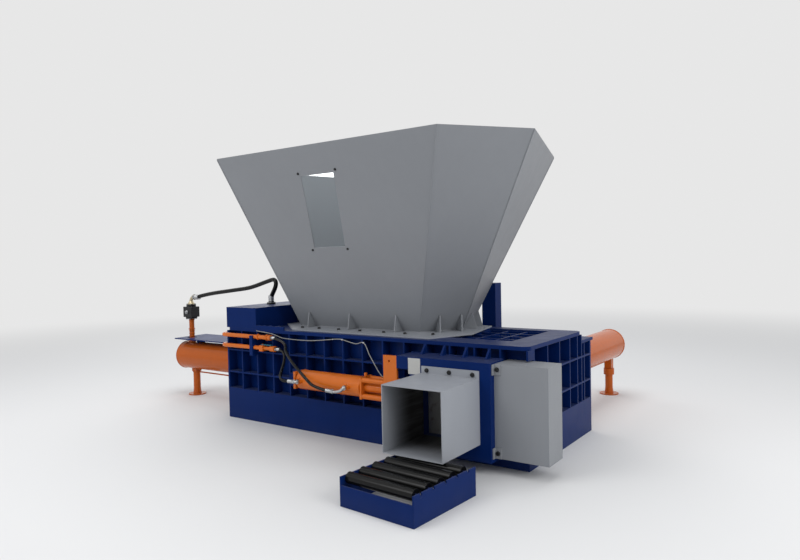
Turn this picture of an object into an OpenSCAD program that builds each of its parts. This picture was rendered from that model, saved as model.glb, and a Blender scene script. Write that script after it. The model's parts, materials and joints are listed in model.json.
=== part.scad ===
// Horizontal can baler with a hopper on top: main ram along X, side ram along Y,
// sliding discharge gate, square discharge chute and a small roller table.
// Origin: centre of the body's footprint on the floor. +X towards the discharge end,
// -Y towards the front with the gate, +Z up. Millimetres.

/* [Body] */
// Length of the body
body_l = 3230; // [3100:10:3600]
// Depth of the body
body_d = 1100; // [1060:10:1300]
// Height of the top plate's upper face
body_h = 900; // [860:10:1000]
// Thickness of the bottom plate
base_t = 20; // [12:1:30]
// Height of the plain plinth under the ribs
plinth_h = 300; // [260:10:340]
// Thickness of the plinth's plates
plinth_t = 16; // [8:1:20]
// Thickness of the top plate
top_t = 30; // [20:1:36]
// Depth of the ribs outside the chamber's walls
rib_depth = 100; // [90:5:140]
// Thickness of the ribs
rib_t = 14; // [8:1:20]
// Distance between upright ribs
rib_pitch = 215; // [180:5:300]
// Heights of the two level ribs
rib_z = [460, 680]; // [350:1:800]
// Thickness of the chamber's long walls
wall_t = 30; // [20:1:36]

/* [Chamber] */
// Height of the chamber's floor, its upper face
floor_z = 215; // [190:5:230]
// Thickness of the chamber's floor
floor_t = 25; // [16:1:30]
// Clear height of the chamber
chamber_h = 450; // [440:1:460]
// Thickness of the chamber's roof
roof_t = 25; // [16:1:30]
// Width of the bale, along X
bale_w = 472; // [470:1:480]
// Right side of the bale channel, from the body's right end
channel_in = 288; // [275:1:295]
// Left end of the feed opening
feed_left = -640; // [-680:10:-560]
// Right end of the feed opening
feed_right = 420; // [300:10:440]
// Front edge of the feed opening
feed_front = -170; // [-200:10:-120]

/* [Cylinders] */
// Outer diameter of the main barrel
main_od = 316; // [300:2:330]
// Bore of the main barrel
main_bore = 250; // [220:2:260]
// Height of the main ram's axis
main_z = 460; // [440:1:465]
// Where the main ram's axis lies across the body
main_y = 0; // [-40:5:40]
// Left end of the main barrel, without its dished end
main_end = -3000; // [-3100:5:-2990]
// Diameter of the main rod
main_rod_d = 140; // [100:2:160]
// Length of the main ram's head
main_head_l = 420; // [300:10:425]
// Outer diameter of the side barrel
side_od = 320; // [290:2:340]
// Bore of the side barrel
side_bore = 250; // [200:2:270]
// Side ram's axis, from the right side of the bale channel
side_in = 49; // [45:1:55]
// Height of the side ram's axis
side_z = 550; // [520:1:590]
// Rear end of the side barrel, without its dished end
side_end = 2380; // [2300:5:2450]
// Diameter of the side rod
side_rod_d = 80; // [60:2:84]
// Stroke of the side ram
side_stroke = 1050; // [700:5:1050]
// Length of the side ram's head
side_head_l = 290; // [240:10:300]
// Rise of the dished ends
dish_rise = 85; // [60:5:120]
// Running clearance between a piston and its bore
piston_gap = 0.08; // [0.02:0.01:0.1]
// Running clearance between a rod and its gland
rod_gap = 0.05; // [0.02:0.01:0.1]
// Clearance between a ram's head and the chamber
ram_gap = 3; // [1:0.5:5]

/* [Gate] */
// How far the gate frame reaches past the bale channel, left and right
frame_reach = [244, 94]; // [60:1:260]
// Front face of the gate frame, ahead of the body
frame_out = 211; // [200:1:230]
// Bottom of the gate frame
frame_z0 = 85; // [60:5:110]
// Top of the gate frame
frame_z1 = 798; // [780:1:820]
// Thickness of the frame's plates
frame_t = 25; // [16:1:30]
// Thickness of the gate
gate_t = 60; // [40:1:70]
// Clearance around the gate
gate_gap = 2; // [1:0.5:4]
// Travel of the gate
gate_travel = 480; // [300:5:484]
// How far the gate laps the opening on each side
gate_lap = 12; // [8:1:12]
// Outer diameter of the gate barrel
gate_cyl_od = 172; // [150:2:190]
// Bore of the gate barrel
gate_cyl_bore = 125; // [100:1:140]
// Height of the gate cylinder's axis
gate_cyl_z = 498; // [480:1:520]
// Diameter of the gate rod
gate_rod_d = 60; // [40:1:70]
// Length of the gate barrel
gate_cyl_l = 700; // [640:5:740]
// Length of the cover that the gate slides into
cover_l = 407; // [404:1:440]
// Depth of the cover
cover_d = 243; // [230:1:250]
// Bottom of the cover
cover_z0 = 113; // [105:1:130]
// Top of the cover
cover_z1 = 788; // [770:1:797]
// Sheet of the cover
cover_t = 4; // [2:0.5:6]

/* [Chute] */
// Width of the chute outside
chute_w = 486; // [480:1:490]
// Length of the chute
chute_l = 515; // [400:5:540]
// Bottom of the chute
chute_z0 = 209; // [208:0.5:209]
// Height of the chute outside
chute_h = 477; // [470:1:482]
// Sheet of the chute
chute_t = 6; // [3:1:8]
// Height of the chute's bolted flange above it
chute_flange_h = 53; // [40:1:60]

/* [Hopper] */
// Height of the hopper's rim
rim_z = 2450; // [2200:10:2600]
// Rim: width of the front edge
rim_front_w = 2263; // [2100:10:2400]
// Rim: middle of the front edge along X
rim_mid = 86; // [50:1:120]
// Rim: front edge
rim_front_y = -1080; // [-1150:10:-1000]
// Rim: run of each slanted front corner, along X and Y
rim_corner = [447, 591]; // [300:1:700]
// Rim: how much each side closes in towards the back, and its length along Y
rim_side = [423, 1410]; // [300:1:1500]
// Base: width of the front edge
foot_front_w = 1390; // [1300:10:1450]
// Base: middle of the front edge along X
foot_mid = -250; // [-280:1:-200]
// Base: front edge
foot_front_y = -180; // [-220:5:-150]
// Base: length of each slanted corner and of each side, as shares of the rim's
foot_share = [0.54, 0.238]; // [0.1:0.001:0.9]
// Sheet of the hopper
hopper_t = 6; // [4:1:10]
// Thickness of the hopper's base flange
flange_t = 12; // [8:1:20]
// Window in the front wall: width
window_w = 348; // [250:1:400]
// Window: middle of its lower edge along X, and how far the upper edge lies further right
window_at = [-172, 178]; // [-250:1:250]
// Window: heights of its lower and upper edge
window_z = [1660, 2233]; // [1500:1:2350]

/* [Roller table] */
// Width of the table between its side plates, outside
table_w = 590; // [560:5:620]
// Length of the table
table_l = 655; // [640:5:720]
// Height of the side plates
table_side_h = 190; // [185:1:196]
// Height of the front beam
table_beam_h = 135; // [110:1:140]
// Thickness of the table's plates
table_t = 10; // [6:1:12]
// Turn of the table against the machine
table_turn = -4; // [-6:1:0]
// Front right corner of the table, from the middle of the bale channel and the gate frame
table_corner = [371, -1044]; // [-1070:1:400]
// Diameter of the rollers
roller_d = 76; // [70:1:80]
// Number of rollers
rollers = 5; // [3:1:5]
// Height of the rollers' axes
roller_z = 168; // [160:1:169]
// Diameter of the roller shafts
shaft_d = 20; // [12:1:25]

/* [Hidden] */
$fn = 64;
half_l = body_l / 2;
half_d = body_d / 2;
seat = 0.3;                                 // gap between round faces of different pieces
skin = half_d - rib_depth;                  // outer face of the long walls
inside = skin - wall_t;                     // inner face of the long walls
under_top = body_h - top_t;
drawn = [3230, 900];                        // body length and height that the hose routes fit
chamber_top = floor_z + chamber_h;
channel_right = half_l - channel_in;
channel_left = channel_right - bale_w;
channel_mid = (channel_left + channel_right) / 2;
end_skin = half_l - rib_depth;              // outer face of the end wall
end_plate_t = 20;
plate_round = 60;                           // corner radius of the top plate
wall_left = -half_l + end_plate_t;          // the long walls start at the left plate
rib_x = [for (i = [1 : floor((body_l - 60) / rib_pitch)]) -half_l + rib_pitch * i];
rib_y = [-190, 50, 270, 443];               // uprights on the right face

// Main ram, drawn back at rest, and its cylinder
gland_l = 110;
gland_d = 380;
thrust_t = 50;
ram_face = feed_left - 5;
main_stroke = channel_left - ram_face;
main_head_back = ram_face - main_head_l;
thrust_x = main_head_back - 30 - thrust_t;
main_gland_x = thrust_x - gland_l;
head_wall = 25;
head_front = 60;
rod_flange = [220, 30];                     // diameter and thickness
piston_l = 90;
cap_t = 20;
piston_rest = 120;                          // oil space behind a piston at rest
main_piston_x = main_end + cap_t + piston_rest;
port_x = main_end + 94;
port_d = 84;
port_top = main_z + main_od / 2 + 12;
post_d = 58;
post_top = 890;
post_collar = [44, 760, 772];               // diameter of the upper post, and heights of the collar
elbow_z = 1143;
main_foot_x = main_end + 160;               // where the main pedestal stands
foot_disc = [200, 12];                      // diameter and thickness of the pedestals' feet
foot_column = 80;
foot_cap = [112, 217, 284];                 // cap of the side pedestal: diameter and heights
brace = [16, 265];                          // thin brace to the body: diameter and height
guard_x = [main_end - 34, -half_l - 105];
guard_z = 655;
// Side ram, drawn back at rest, and its cylinder
side_x = channel_right - side_in;
side_foot_y = side_end - 40;
side_face = inside + 5;
side_back = side_face + side_head_l;
box_d = 220;                                // rear box behind the body
box_top = 820;
box_left = channel_left - 75;
box_t = 25;
box_lip = 55;                               // how far its top reaches over the rear
box_back = half_d + box_d;
side_barrel_y = box_back + gland_l;
side_piston_y = side_end - cap_t - piston_rest - piston_l;
// Gate, its frame and its cylinder
frame_y = -half_d - frame_out;              // front face of the gate frame
frame_left = channel_left - frame_reach[0];
frame_right = channel_right + frame_reach[1];
cover_right = frame_right + cover_l;
slot_y = frame_y + 69;                      // front face of the gate's slot
gate_y0 = slot_y + gate_gap;
gate_y1 = gate_y0 + gate_t;
gate_axis = (gate_y0 + gate_y1) / 2;
slot_back = gate_y1 + gate_gap;
gate_left = channel_left - gate_lap;
gate_right = channel_right + gate_lap;
gate_z0 = floor_z - gate_lap;
gate_z1 = chamber_top + gate_lap;
window_l = frame_left + 124;                // right end of the frame's side opening
frame_open = [380, 700];                    // its lower and upper edge
tunnel_t = 12;
gate_barrel_x = frame_left - 396;           // right end of the gate barrel
gate_barrel_x0 = gate_barrel_x - gate_cyl_l;
gate_gland_l = 55;
gate_cap_t = 15;
gate_piston_l = 50;
gate_neck = [84, 290];                      // diameter and length of the rod's sleeve
gate_foot = [150, 25, 20];                  // square foot of the gate barrel: size, thickness, neck
gate_foot_x = gate_barrel_x0 - gate_foot[1] - gate_foot[2];
cage = [150, 180];                          // size of its square ends
cage_t = 20;
cage_bar = [44, 52, 66.5];                    // diameter, and place from the axis along Y and Z
cover_y = frame_y + 58;                     // front face of the cover
lug = [52, 76, 8, 28];                      // angle lugs on the cover: width, height, thickness, bolt's place
lug_z = [cover_z0 + lug[1] / 2, cover_z1 - lug[1] / 2];
pocket_left = frame_right - 12;             // corner pocket for the back of the cover
pocket_back = cover_y + cover_d + 8;
pocket_z = [105, 796];
// Chute
chute_x = channel_mid - chute_w / 2;
chute_top = chute_z0 + chute_h;
chute_flange_t = 10;
chute_bolt_x = [chute_x + 49, channel_mid, chute_x + chute_w - 49];
chute_bolt_z = chute_top + 23;
// Recess in the top plate over the bale channel
recess = [channel_left - 43, -300, channel_right + 45, inside];
recess_rib_top = body_h - 14;
// Raised block over the left end
block_l = 420;
block_out = [[-half_l, -half_d], [block_l - half_l, -half_d], [block_l - half_l, 10],
    [block_l - 50 - half_l, 76], [block_l - 50 - half_l, half_d], [-half_l, half_d]];
block_top = body_h + 200;
block_t = 12;
edge_bar = [790 - half_l, 16, 34];          // bar along the front edge: right end, thickness, height

// Hopper outline as six points, from the front left round to the left corner
function six(mid, w, y, corner, side) = [
    [mid - w / 2, y],
    [mid + w / 2, y],
    [mid + w / 2 + corner[0], y + corner[1]],
    [mid + w / 2 + corner[0] - side[0], y + corner[1] + side[1]],
    [mid - w / 2 - corner[0] + side[0], y + corner[1] + side[1]],
    [mid - w / 2 - corner[0], y + corner[1]]];
rim_out = six(rim_mid, rim_front_w, rim_front_y, rim_corner, rim_side);
foot_out = six(foot_mid, foot_front_w, foot_front_y,
    foot_share[0] * rim_corner, foot_share[1] * rim_side);
foot_z = body_h + flange_t;
// Moves each side of a closed outline inwards by t
function unit(v) = v / norm(v);
function side_in(a, b) = let (u = unit(b - a)) [-u[1], u[0]];
function meet(p, u, q, v) = p + u * ((q - p) * [v[1], -v[0]]) / (u * [v[1], -v[0]]);
function shrink(pts, t) = let (n = len(pts)) [for (i = [0 : n - 1])
    let (a = pts[(i + n - 1) % n], b = pts[i], c = pts[(i + 1) % n])
    meet(b + t * side_in(a, b), unit(b - a), b + t * side_in(b, c), unit(c - b))];
rim_in = shrink(rim_out, hopper_t);
foot_in = shrink(foot_out, hopper_t);
function lift(pts, z) = [for (p = pts) [p[0], p[1], z]];
flange_out = [[-770, -487], [735, -487], [910, -80], [780, 520], [-1190, 520],
    [-1190, -130]];
flange_bolts = [[-772, -350], [-562, -350], [-324, -350], [-76, -350], [187, -350],
    [411, -350], [658, -300]];
slope_rise = [[-1180, 240], [560, 160]];    // feed slopes: where each one starts and its height
// Gussets on the flange: foot point, turn, outward lean of the wall
gusset_h = 145;
gusset_l = 120;
gusset_t = 12;

// Window in the hopper's front wall
front_lean = (foot_front_y - rim_front_y) / (rim_z - foot_z);
function front_y(z) = foot_front_y - (z - foot_z) * front_lean;
front_tilt = atan(front_lean);
window_h = (window_z[1] - window_z[0]) / cos(front_tilt);
window_k = window_at[1] / window_h;
function window_points(e) = [[-window_w / 2 - e - e * window_k, -e],
    [window_w / 2 + e - e * window_k, -e],
    [window_w / 2 + e + (window_h + e) * window_k, window_h + e],
    [-window_w / 2 - e + (window_h + e) * window_k, window_h + e]];
window_bolt_out = 24;
pane_out = 42;
pane_t = 5;
pane_back = hopper_t * cos(front_tilt) + seat; // the pane lies behind the wall

// Oil lines along the front
pipe_d = 40;
pipe_y = -580;
pipe_z = [body_h - 70, body_h - 173];
pipe_left = -half_l - 47;
pipe_back = [-330, -420];                   // where they turn into the left plate
pipe_right = [657 - half_l, 517 - half_l];
clamp_x = 410 - half_l;
valve_x = 540 - half_l;
tee_x = 677 - half_l;
bend_r = 60;
hose_d = 26;
// Hose route whose ends have moved by d0 and d1 since it was drawn, the straight start with its end
function stretch(pts, d0, d1) = [for (i = [0 : len(pts) - 1])
    pts[i] + d0 + (d1 - d0) * max(i - 2, 0) / (len(pts) - 3)];
left_move = [(drawn[0] - body_l) / 2, 0, body_h - drawn[1]];
right_move = [(body_l - drawn[0]) / 2, 0, 0];
front_hose = stretch([[-958, -580, 830], [-948, -580, 830], [-938, -580, 830], [-812, -606, 815],
    [-708, -650, 787], [-657, -690, 732], [-526, -750, 660], [-393, -790, 590], [-315, -800, 538],
    [-247, -800, 493], [-144, -796, 467], [-60, -792, 458]], left_move, right_move);
rear_hose = stretch([[-900, -580, 727], [-890, -580, 727], [-880, -580, 727], [-800, -596, 716],
    [-735, -635, 680], [-690, -690, 625], [-660, -750, 570], [-640, -786, 525], [-600, -792, 497],
    [-550, -792, 496], [-500, -792, 498]], left_move, right_move);
port_out = 24;                              // height of the gate barrel's two ports
gate_port_x = [gate_barrel_x - 123, gate_barrel_x0 + 45];
main_hose_d = 45;
hose_ferrule = [56, 50];                    // on the end block: diameter and height
main_hose_route = stretch([[-2832, 0, 1143], [-2815, 0, 1143], [-2798, 0, 1143], [-2665, 0, 1168],
    [-2458, -8, 1197], [-2152, -20, 1230], [-1841, -35, 1266], [-1589, -50, 1325], [-1470, -62, 1352],
    [-1420, -72, 1350], [-1396, -78, 1318], [-1408, -80, 1270], [-1450, -80, 1205], [-1470, -80, 1170],
    [-1470, -80, 1155], [-1470, -80, 1140]], [0, 0, 0], left_move);
hose_foot = main_hose_route[len(main_hose_route) - 1];
lead_d = 8;
sensor_route = stretch([[-1180, -560, 884], [-992, -560, 868], [-900, -560, 850], [-795, -562, 831],
    [-481, -562, 829], [-185, -558, 858], [-105, -556, 857], [38, -558, 832], [131, -558, 844],
    [198, -570, 750], [300, -600, 640], [370, -640, 604], [402, -655, 596]], left_move, right_move);
sensor_end = sensor_route[len(sensor_route) - 1];
lead_clips = [sensor_route[6], sensor_route[8]];

// Roller table, in its own frame at the front right corner
beam_t = 10;
rest_x = [-480, -250];                      // rests for the chute on the rear beam
table_at = [channel_mid + table_corner[0], frame_y + table_corner[1]];
shaft_edge = [72, 83];                      // from the table's front and rear to the outer shafts
shaft_y = [for (i = [0 : rollers - 1])
    shaft_edge[0] + i * (table_l - shaft_edge[0] - shaft_edge[1]) / (rollers - 1)];
roller_end = [6, 30];                       // from the side plates to the rollers' ends
roller_wall = 4;
roller_disc = 12;
shaft_gap = 0.06;

blue = [0.05, 0.20, 0.50];
grey = [0.62, 0.65, 0.68];
orange = [0.90, 0.35, 0.08];
steel = [0.72, 0.73, 0.75];
black = [0.08, 0.08, 0.09];

// Box between two corners
module slab(a, b) { translate(a) cube(b - a); }
// Round bars between two places along one axis
module bar_x(x0, x1, d, y, z) { translate([x0, y, z]) rotate([0, 90, 0]) cylinder(h = x1 - x0, d = d); }
module bar_y(y0, y1, d, x, z) { translate([x, y1, z]) rotate([90, 0, 0]) cylinder(h = y1 - y0, d = d); }
module bar_z(z0, z1, d, x, y) { translate([x, y, z0]) cylinder(h = z1 - z0, d = d); }
// Closed cylinder barrel up from the origin: dished end of height h below, flange at the top
module vessel(r, l, flange_r, h) {
    ball = (r * r + h * h) / (2 * h);
    half = asin(r / ball);
    rotate_extrude() polygon(concat(
        [for (i = [0 : 12]) let (a = half * i / 12) [ball * sin(a), ball - h - ball * cos(a)]],
        [[r, l - 30], [flange_r, l - 30], [flange_r, l], [0, l]]));
}
// Hexagon bolt, its head on the origin and its shank below
module bolt(d, l) {
    translate([0, 0, -l]) cylinder(h = l, d = d);
    cylinder(h = 0.2 * d, d = 2.1 * d);
    translate([0, 0, 0.2 * d]) cylinder(h = 0.65 * d, d = 1.85 * d, $fn = 6);
}
// Tube swept through the points: a smooth curve, then rings square to it
function curve_at(a, b, c, d, t) = 0.5 * (2 * b + (c - a) * t + (2 * a - 5 * b + 4 * c - d) * t * t
    + (3 * b - a - 3 * c + d) * t * t * t);
function curve(pts, n) = let (m = len(pts) - 1) concat([for (i = [0 : m - 1], k = [0 : n - 1])
    curve_at(pts[max(i - 1, 0)], pts[i], pts[i + 1], pts[min(i + 2, m)], k / n)], [pts[m]]);
module tube(pts, d, n = 3, sides = 10, across = [0, 1, 0]) {
    path = curve(pts, n);
    last = len(path) - 1;
    rings = [for (i = [0 : last])
        let (t = unit(path[min(i + 1, last)] - path[max(i - 1, 0)]), u = unit(cross(t, across)),
            v = cross(t, u))
        for (k = [0 : sides - 1])
            path[i] + d / 2 * (cos(360 * k / sides) * u + sin(360 * k / sides) * v)];
    polyhedron(rings, concat(
        [[for (k = [0 : sides - 1]) k]],
        [[for (k = [0 : sides - 1]) last * sides + sides - 1 - k]],
        [for (i = [0 : last - 1], k = [0 : sides - 1])
            [i * sides + k, (i + 1) * sides + k, i * sides + (k + 1) % sides]],
        [for (i = [0 : last - 1], k = [0 : sides - 1])
            [(i + 1) * sides + k, (i + 1) * sides + (k + 1) % sides, i * sides + (k + 1) % sides]]));
}

// Bottom plate, plinth plates, floor bearers and the floor of the corner pocket
module base_frame() color(blue) difference() {
    union() {
        slab([-half_l, -half_d, 0], [half_l, half_d, base_t]);
        for (s = [0, 1]) mirror([0, s, 0]) {
            slab([wall_left, -half_d, base_t], [half_l, plinth_t - half_d, plinth_h]);
            slab([wall_left, plinth_t - half_d, plinth_h - rib_t], [half_l, -skin, plinth_h]);
        }
        slab([half_l - plinth_t, plinth_t - half_d, base_t], [half_l, half_d - plinth_t, plinth_h]);
        slab([end_skin, -skin, plinth_h - rib_t], [half_l - plinth_t, skin, plinth_h]);
        for (x = concat([for (i = [0 : 5]) (1 + 2 * i) * rib_pitch - half_l],
                [channel_left + 110, channel_left + 325, channel_right + 93]))
            slab([x - 8, -inside, base_t], [x + 8, inside, floor_z - floor_t]);
        slab([pocket_left - 16, plinth_t - half_d, pocket_z[0] - 16],
            [half_l - plinth_t, -skin, pocket_z[0]]);
        slab([pocket_left - 16, plinth_t - half_d, pocket_z[0]], [pocket_left, -skin, plinth_h - rib_t]);
    }
    slab([pocket_left, -half_d - 1, pocket_z[0]], [half_l + 1, pocket_back, plinth_h + 1]);
    gate_passage(-half_d - 1, -skin + 1);
    slab([channel_left - 25, skin - 1, floor_z - floor_t], [channel_right + 25, half_d + 1, plinth_h + 1]);
}
// Room for the gate's tunnel between two places along Y
module gate_passage(y0, y1) {
    slab([channel_left - tunnel_t, y0, floor_z - tunnel_t],
        [channel_right + tunnel_t, y1, chamber_top + tunnel_t]);
}
module chamber_floor() color(steel)
    slab([wall_left, -inside, floor_z - floor_t], [end_skin, inside, floor_z]);
module front_wall() color(blue) difference() {
    slab([wall_left, -skin, base_t], [end_skin, -inside, under_top]);
    slab([channel_left, -skin - 1, floor_z], [channel_right, -inside + 1, chamber_top]);
}
// Rear wall with its ribs, and the side ram's passage through them
module back_wall() color(blue) {
    difference() {
        union() {
            slab([wall_left, inside, base_t], [end_skin, skin, under_top]);
            for (x = rib_x)
                slab([x - rib_t / 2, skin, plinth_h], [x + rib_t / 2, half_d, under_top]);
            for (z = rib_z)
                slab([wall_left, skin, z - rib_t / 2], [end_skin, half_d, z + rib_t / 2]);
        }
        slab([channel_left, inside - 1, floor_z], [channel_right, half_d + 1, chamber_top]);
        slab([channel_left - 25, skin, floor_z - 25], [channel_right + 25, half_d + 1, chamber_top + 25]);
    }
    passage(skin, half_d);
}
// Four plates round the side ram between two places along Y
module passage(y0, y1) difference() {
    slab([channel_left - box_t, y0, floor_z - box_t], [channel_right + box_t, y1, chamber_top + box_t]);
    slab([channel_left, y0 - 1, floor_z], [channel_right, y1 + 1, chamber_top]);
}
module left_wall() color(blue) difference() {
    slab([-half_l, -half_d, base_t], [wall_left, half_d, under_top]);
    bar_x(-half_l - 1, wall_left + 1, main_od + 2 * seat, main_y, main_z);
}
module thrust_wall() color(blue) difference() {
    slab([thrust_x, -inside, floor_z], [thrust_x + thrust_t, inside, under_top]);
    bar_x(thrust_x - 1, thrust_x + thrust_t + 1, main_rod_d + 40, main_y, main_z);
}
// Hollow end wall, stepped back at the recess
module right_wall() color(blue) difference() {
    union() {
        slab([channel_right, -inside, floor_z], [end_skin, inside, chamber_top + roof_t]);
        slab([recess[2], -inside, floor_z], [end_skin, inside, under_top]);
    }
    for (i = [0 : 3])
        slab([recess[2], -inside + 25 + i * 200, floor_z - 1],
            [end_skin - 25, -inside + 195 + i * 200, under_top - 25]);
}
// Roof of the chamber with the throat under the hopper
module chamber_roof() color(blue) difference() {
    union() {
        slab([thrust_x + thrust_t, -inside, chamber_top], [channel_right, inside, chamber_top + roof_t]);
        slab([feed_left - 12, feed_front - 12, chamber_top], [feed_right + 12, inside, under_top]);
    }
    slab([feed_left, feed_front, chamber_top - 1], [feed_right, inside - 12, under_top + 1]);
}
// Uprights and level ribs along the front, cut back for the tunnel and the cover
module front_ribs() color(blue) difference() {
    union() {
        for (x = rib_x)
            slab([x - rib_t / 2, -half_d, plinth_h], [x + rib_t / 2, -skin, under_top]);
        slab([half_l - rib_t, -half_d, plinth_h], [half_l, -skin, under_top]);
        for (z = rib_z)
            slab([wall_left, -half_d, z - rib_t / 2], [half_l, -skin, z + rib_t / 2]);
    }
    gate_passage(-half_d - 1, -skin + 1);
    slab([pocket_left, -half_d - 1, pocket_z[0]], [half_l + 1, pocket_back, pocket_z[1]]);
}
module right_ribs() color(blue) {
    for (y = rib_y)
        slab([end_skin, y - rib_t / 2, plinth_h], [half_l, y + rib_t / 2, under_top]);
    for (z = rib_z)
        slab([end_skin, -skin, z - rib_t / 2], [half_l, half_d, z + rib_t / 2]);
    slab([end_skin, -skin, plinth_h], [half_l, rib_t - skin, under_top]);
    slab([end_skin, half_d - rib_t, plinth_h], [half_l, half_d, under_top]);
}
// Top plate with rounded corners, the feed opening and the recess
module top_plate() color(blue) difference() {
    translate([0, 0, under_top]) linear_extrude(top_t) union() {
        square([body_l - 2 * plate_round, body_d], center = true);
        square([body_l, body_d - 2 * plate_round], center = true);
        for (x = [-1, 1], y = [-1, 1])
            translate([x * (half_l - plate_round), y * (half_d - plate_round)]) circle(r = plate_round);
    }
    slab([feed_left, feed_front, under_top - 1], [feed_right, inside - 12, body_h + 1]);
    slab([recess[0], recess[1], under_top - 1], [recess[2], recess[3], body_h + 1]);
    for (p = flange_bolts)
        bar_z(under_top - 1, body_h + 1, 17, p[0], p[1]);
}
// Crossed ribs on the roof inside the recess
module recess_ribs() color(blue) {
    x0 = recess[0] + 4;
    x1 = recess[2] - 4;
    y0 = recess[1] + 4;
    y1 = recess[3] - 4;
    for (i = [0 : 4]) let (y = y0 + i * (y1 - y0 - rib_t) / 4)
        slab([x0, y, chamber_top + roof_t], [x1, y + rib_t, recess_rib_top]);
    for (i = [0 : 3]) let (x = x0 + i * (x1 - x0 - rib_t) / 3)
        slab([x, y0, chamber_top + roof_t], [x + rib_t, y1, recess_rib_top]);
}
module end_block() color(blue) {
    difference() {
        translate([0, 0, body_h]) linear_extrude(block_top - body_h) polygon(block_out);
        translate([0, 0, body_h - 1]) linear_extrude(block_top - block_t - body_h + 1)
            polygon(shrink(block_out, block_t));
    }
    slab([block_l - half_l - block_t, -half_d, body_h],
        [edge_bar[0], edge_bar[1] - half_d, body_h + edge_bar[2]]);
}
// Box on the rear face that carries the side cylinder
module rear_box() color(blue) {
    difference() {
        union() {
            slab([box_left, half_d, 0], [half_l, box_back, base_t]);
            slab([box_left, half_d, base_t], [box_left + box_t, box_back, box_top]);
            slab([end_skin - box_t, half_d, base_t], [end_skin, box_back, box_top]);
            slab([box_left, box_back - box_t, base_t], [half_l, box_back, box_top]);
            slab([box_left, half_d, box_top - box_t], [half_l, box_back + box_lip, box_top]);
            slab([half_l - plinth_t, half_d, base_t], [half_l, box_back, plinth_h]);
            slab([end_skin, half_d, plinth_h - rib_t], [half_l, box_back, plinth_h]);
            for (z = rib_z)
                slab([end_skin, half_d, z - rib_t / 2], [half_l, box_back, z + rib_t / 2]);
            slab([end_skin, 600, plinth_h], [half_l, 600 + rib_t, box_top]);
        }
        bar_y(box_back - box_t - 1, box_back + 1, side_rod_d + 20, side_x, side_z);
    }
    passage(half_d, box_back - box_t);
}

module main_barrel() color(orange) difference() {
    union() {
        translate([main_end, main_y, main_z]) rotate([0, 90, 0])
            vessel(main_od / 2, main_gland_x - main_end, gland_d / 2, dish_rise);
        bar_z(main_z + main_bore / 2 + 6, port_top, port_d, port_x, main_y);
        bar_z(port_top, post_collar[1], post_d, port_x, main_y);
        bar_z(post_collar[1], post_collar[2], post_d + 16, port_x, main_y);
        bar_z(post_collar[2], post_top, post_collar[0], port_x, main_y);
    }
    bar_x(main_end + cap_t, main_gland_x + 1, main_bore, main_y, main_z);
}
module main_gland() color(orange) difference() {
    bar_x(main_gland_x, thrust_x, gland_d, main_y, main_z);
    bar_x(main_gland_x - 1, thrust_x + 1, main_rod_d + 2 * rod_gap, main_y, main_z);
}
module main_rod() color(steel) {
    bar_x(main_piston_x, main_piston_x + piston_l, main_bore - 2 * piston_gap, main_y, main_z);
    bar_x(main_piston_x + piston_l, ram_face - head_front, main_rod_d, main_y, main_z);
    bar_x(ram_face - head_front - rod_flange[1], ram_face - head_front, rod_flange[0], main_y, main_z);
}
// Box open to the rear, closed at its pushing face
module main_ram() color(steel) difference() {
    slab([main_head_back, ram_gap - inside, floor_z + ram_gap],
        [ram_face, inside - ram_gap, chamber_top - ram_gap]);
    slab([main_head_back - 1, ram_gap + head_wall - inside, floor_z + ram_gap + head_wall],
        [ram_face - head_front, inside - ram_gap - head_wall, chamber_top - ram_gap - head_wall]);
}
// Round foot of a cylinder: disc, column with a cap if there is one, and a saddle cut to the barrel
module pedestal(top, cap) {
    cylinder(h = foot_disc[1], d = foot_disc[0]);
    translate([0, 0, foot_disc[1]]) cylinder(h = 60, d1 = foot_column + 16, d2 = foot_column);
    bar_z(foot_disc[1] + 60, cap[1], foot_column, 0, 0);
    bar_z(cap[1], cap[2], cap[0], 0, 0);
    slab([-38, -38, cap[2]], [38, 38, top]);
}
// Stands under the main barrel, with a thin brace to the body
module main_pedestal() color(orange) difference() {
    union() {
        translate([main_foot_x, main_y, 0])
            pedestal(main_z - main_od / 2 + 12,
                [foot_column + 8, main_z - main_od / 2 - 42, main_z - main_od / 2 - 30]);
        bar_x(main_foot_x, -half_l, brace[0], main_y, brace[1]);
    }
    bar_x(main_foot_x - 99, main_foot_x + 99, main_od + 2 * seat, main_y, main_z);
}

module side_barrel() color(orange) difference() {
    translate([side_x, side_end, side_z]) rotate([90, 0, 0])
        vessel(side_od / 2, side_end - side_barrel_y, gland_d / 2, dish_rise);
    bar_y(side_barrel_y - 1, side_end - cap_t, side_bore, side_x, side_z);
}
module side_gland() color(orange) difference() {
    bar_y(box_back, side_barrel_y, gland_d, side_x, side_z);
    bar_y(box_back - 1, side_barrel_y + 1, side_rod_d + 2 * rod_gap, side_x, side_z);
}
module side_rod() color(steel) {
    bar_y(side_piston_y, side_piston_y + piston_l, side_bore - 2 * piston_gap, side_x, side_z);
    bar_y(side_back, side_piston_y, side_rod_d, side_x, side_z);
}
// Box open underneath, closed where the rod is welded on
module side_ram() color(steel) difference() {
    slab([channel_left + ram_gap, side_face, floor_z + ram_gap],
        [channel_right - ram_gap, side_back, chamber_top - ram_gap]);
    slab([channel_left + ram_gap + head_wall, side_face + head_front, floor_z + ram_gap - 1],
        [channel_right - ram_gap - head_wall, side_back - head_front, chamber_top - ram_gap - head_wall]);
}
module side_pedestal() color(orange) difference() {
    translate([side_x, side_foot_y, 0]) pedestal(side_z - side_od / 2 + 12, foot_cap);
    bar_y(side_foot_y - 99, side_foot_y + 99, side_od + 2 * seat, side_x, side_z);
}

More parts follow.
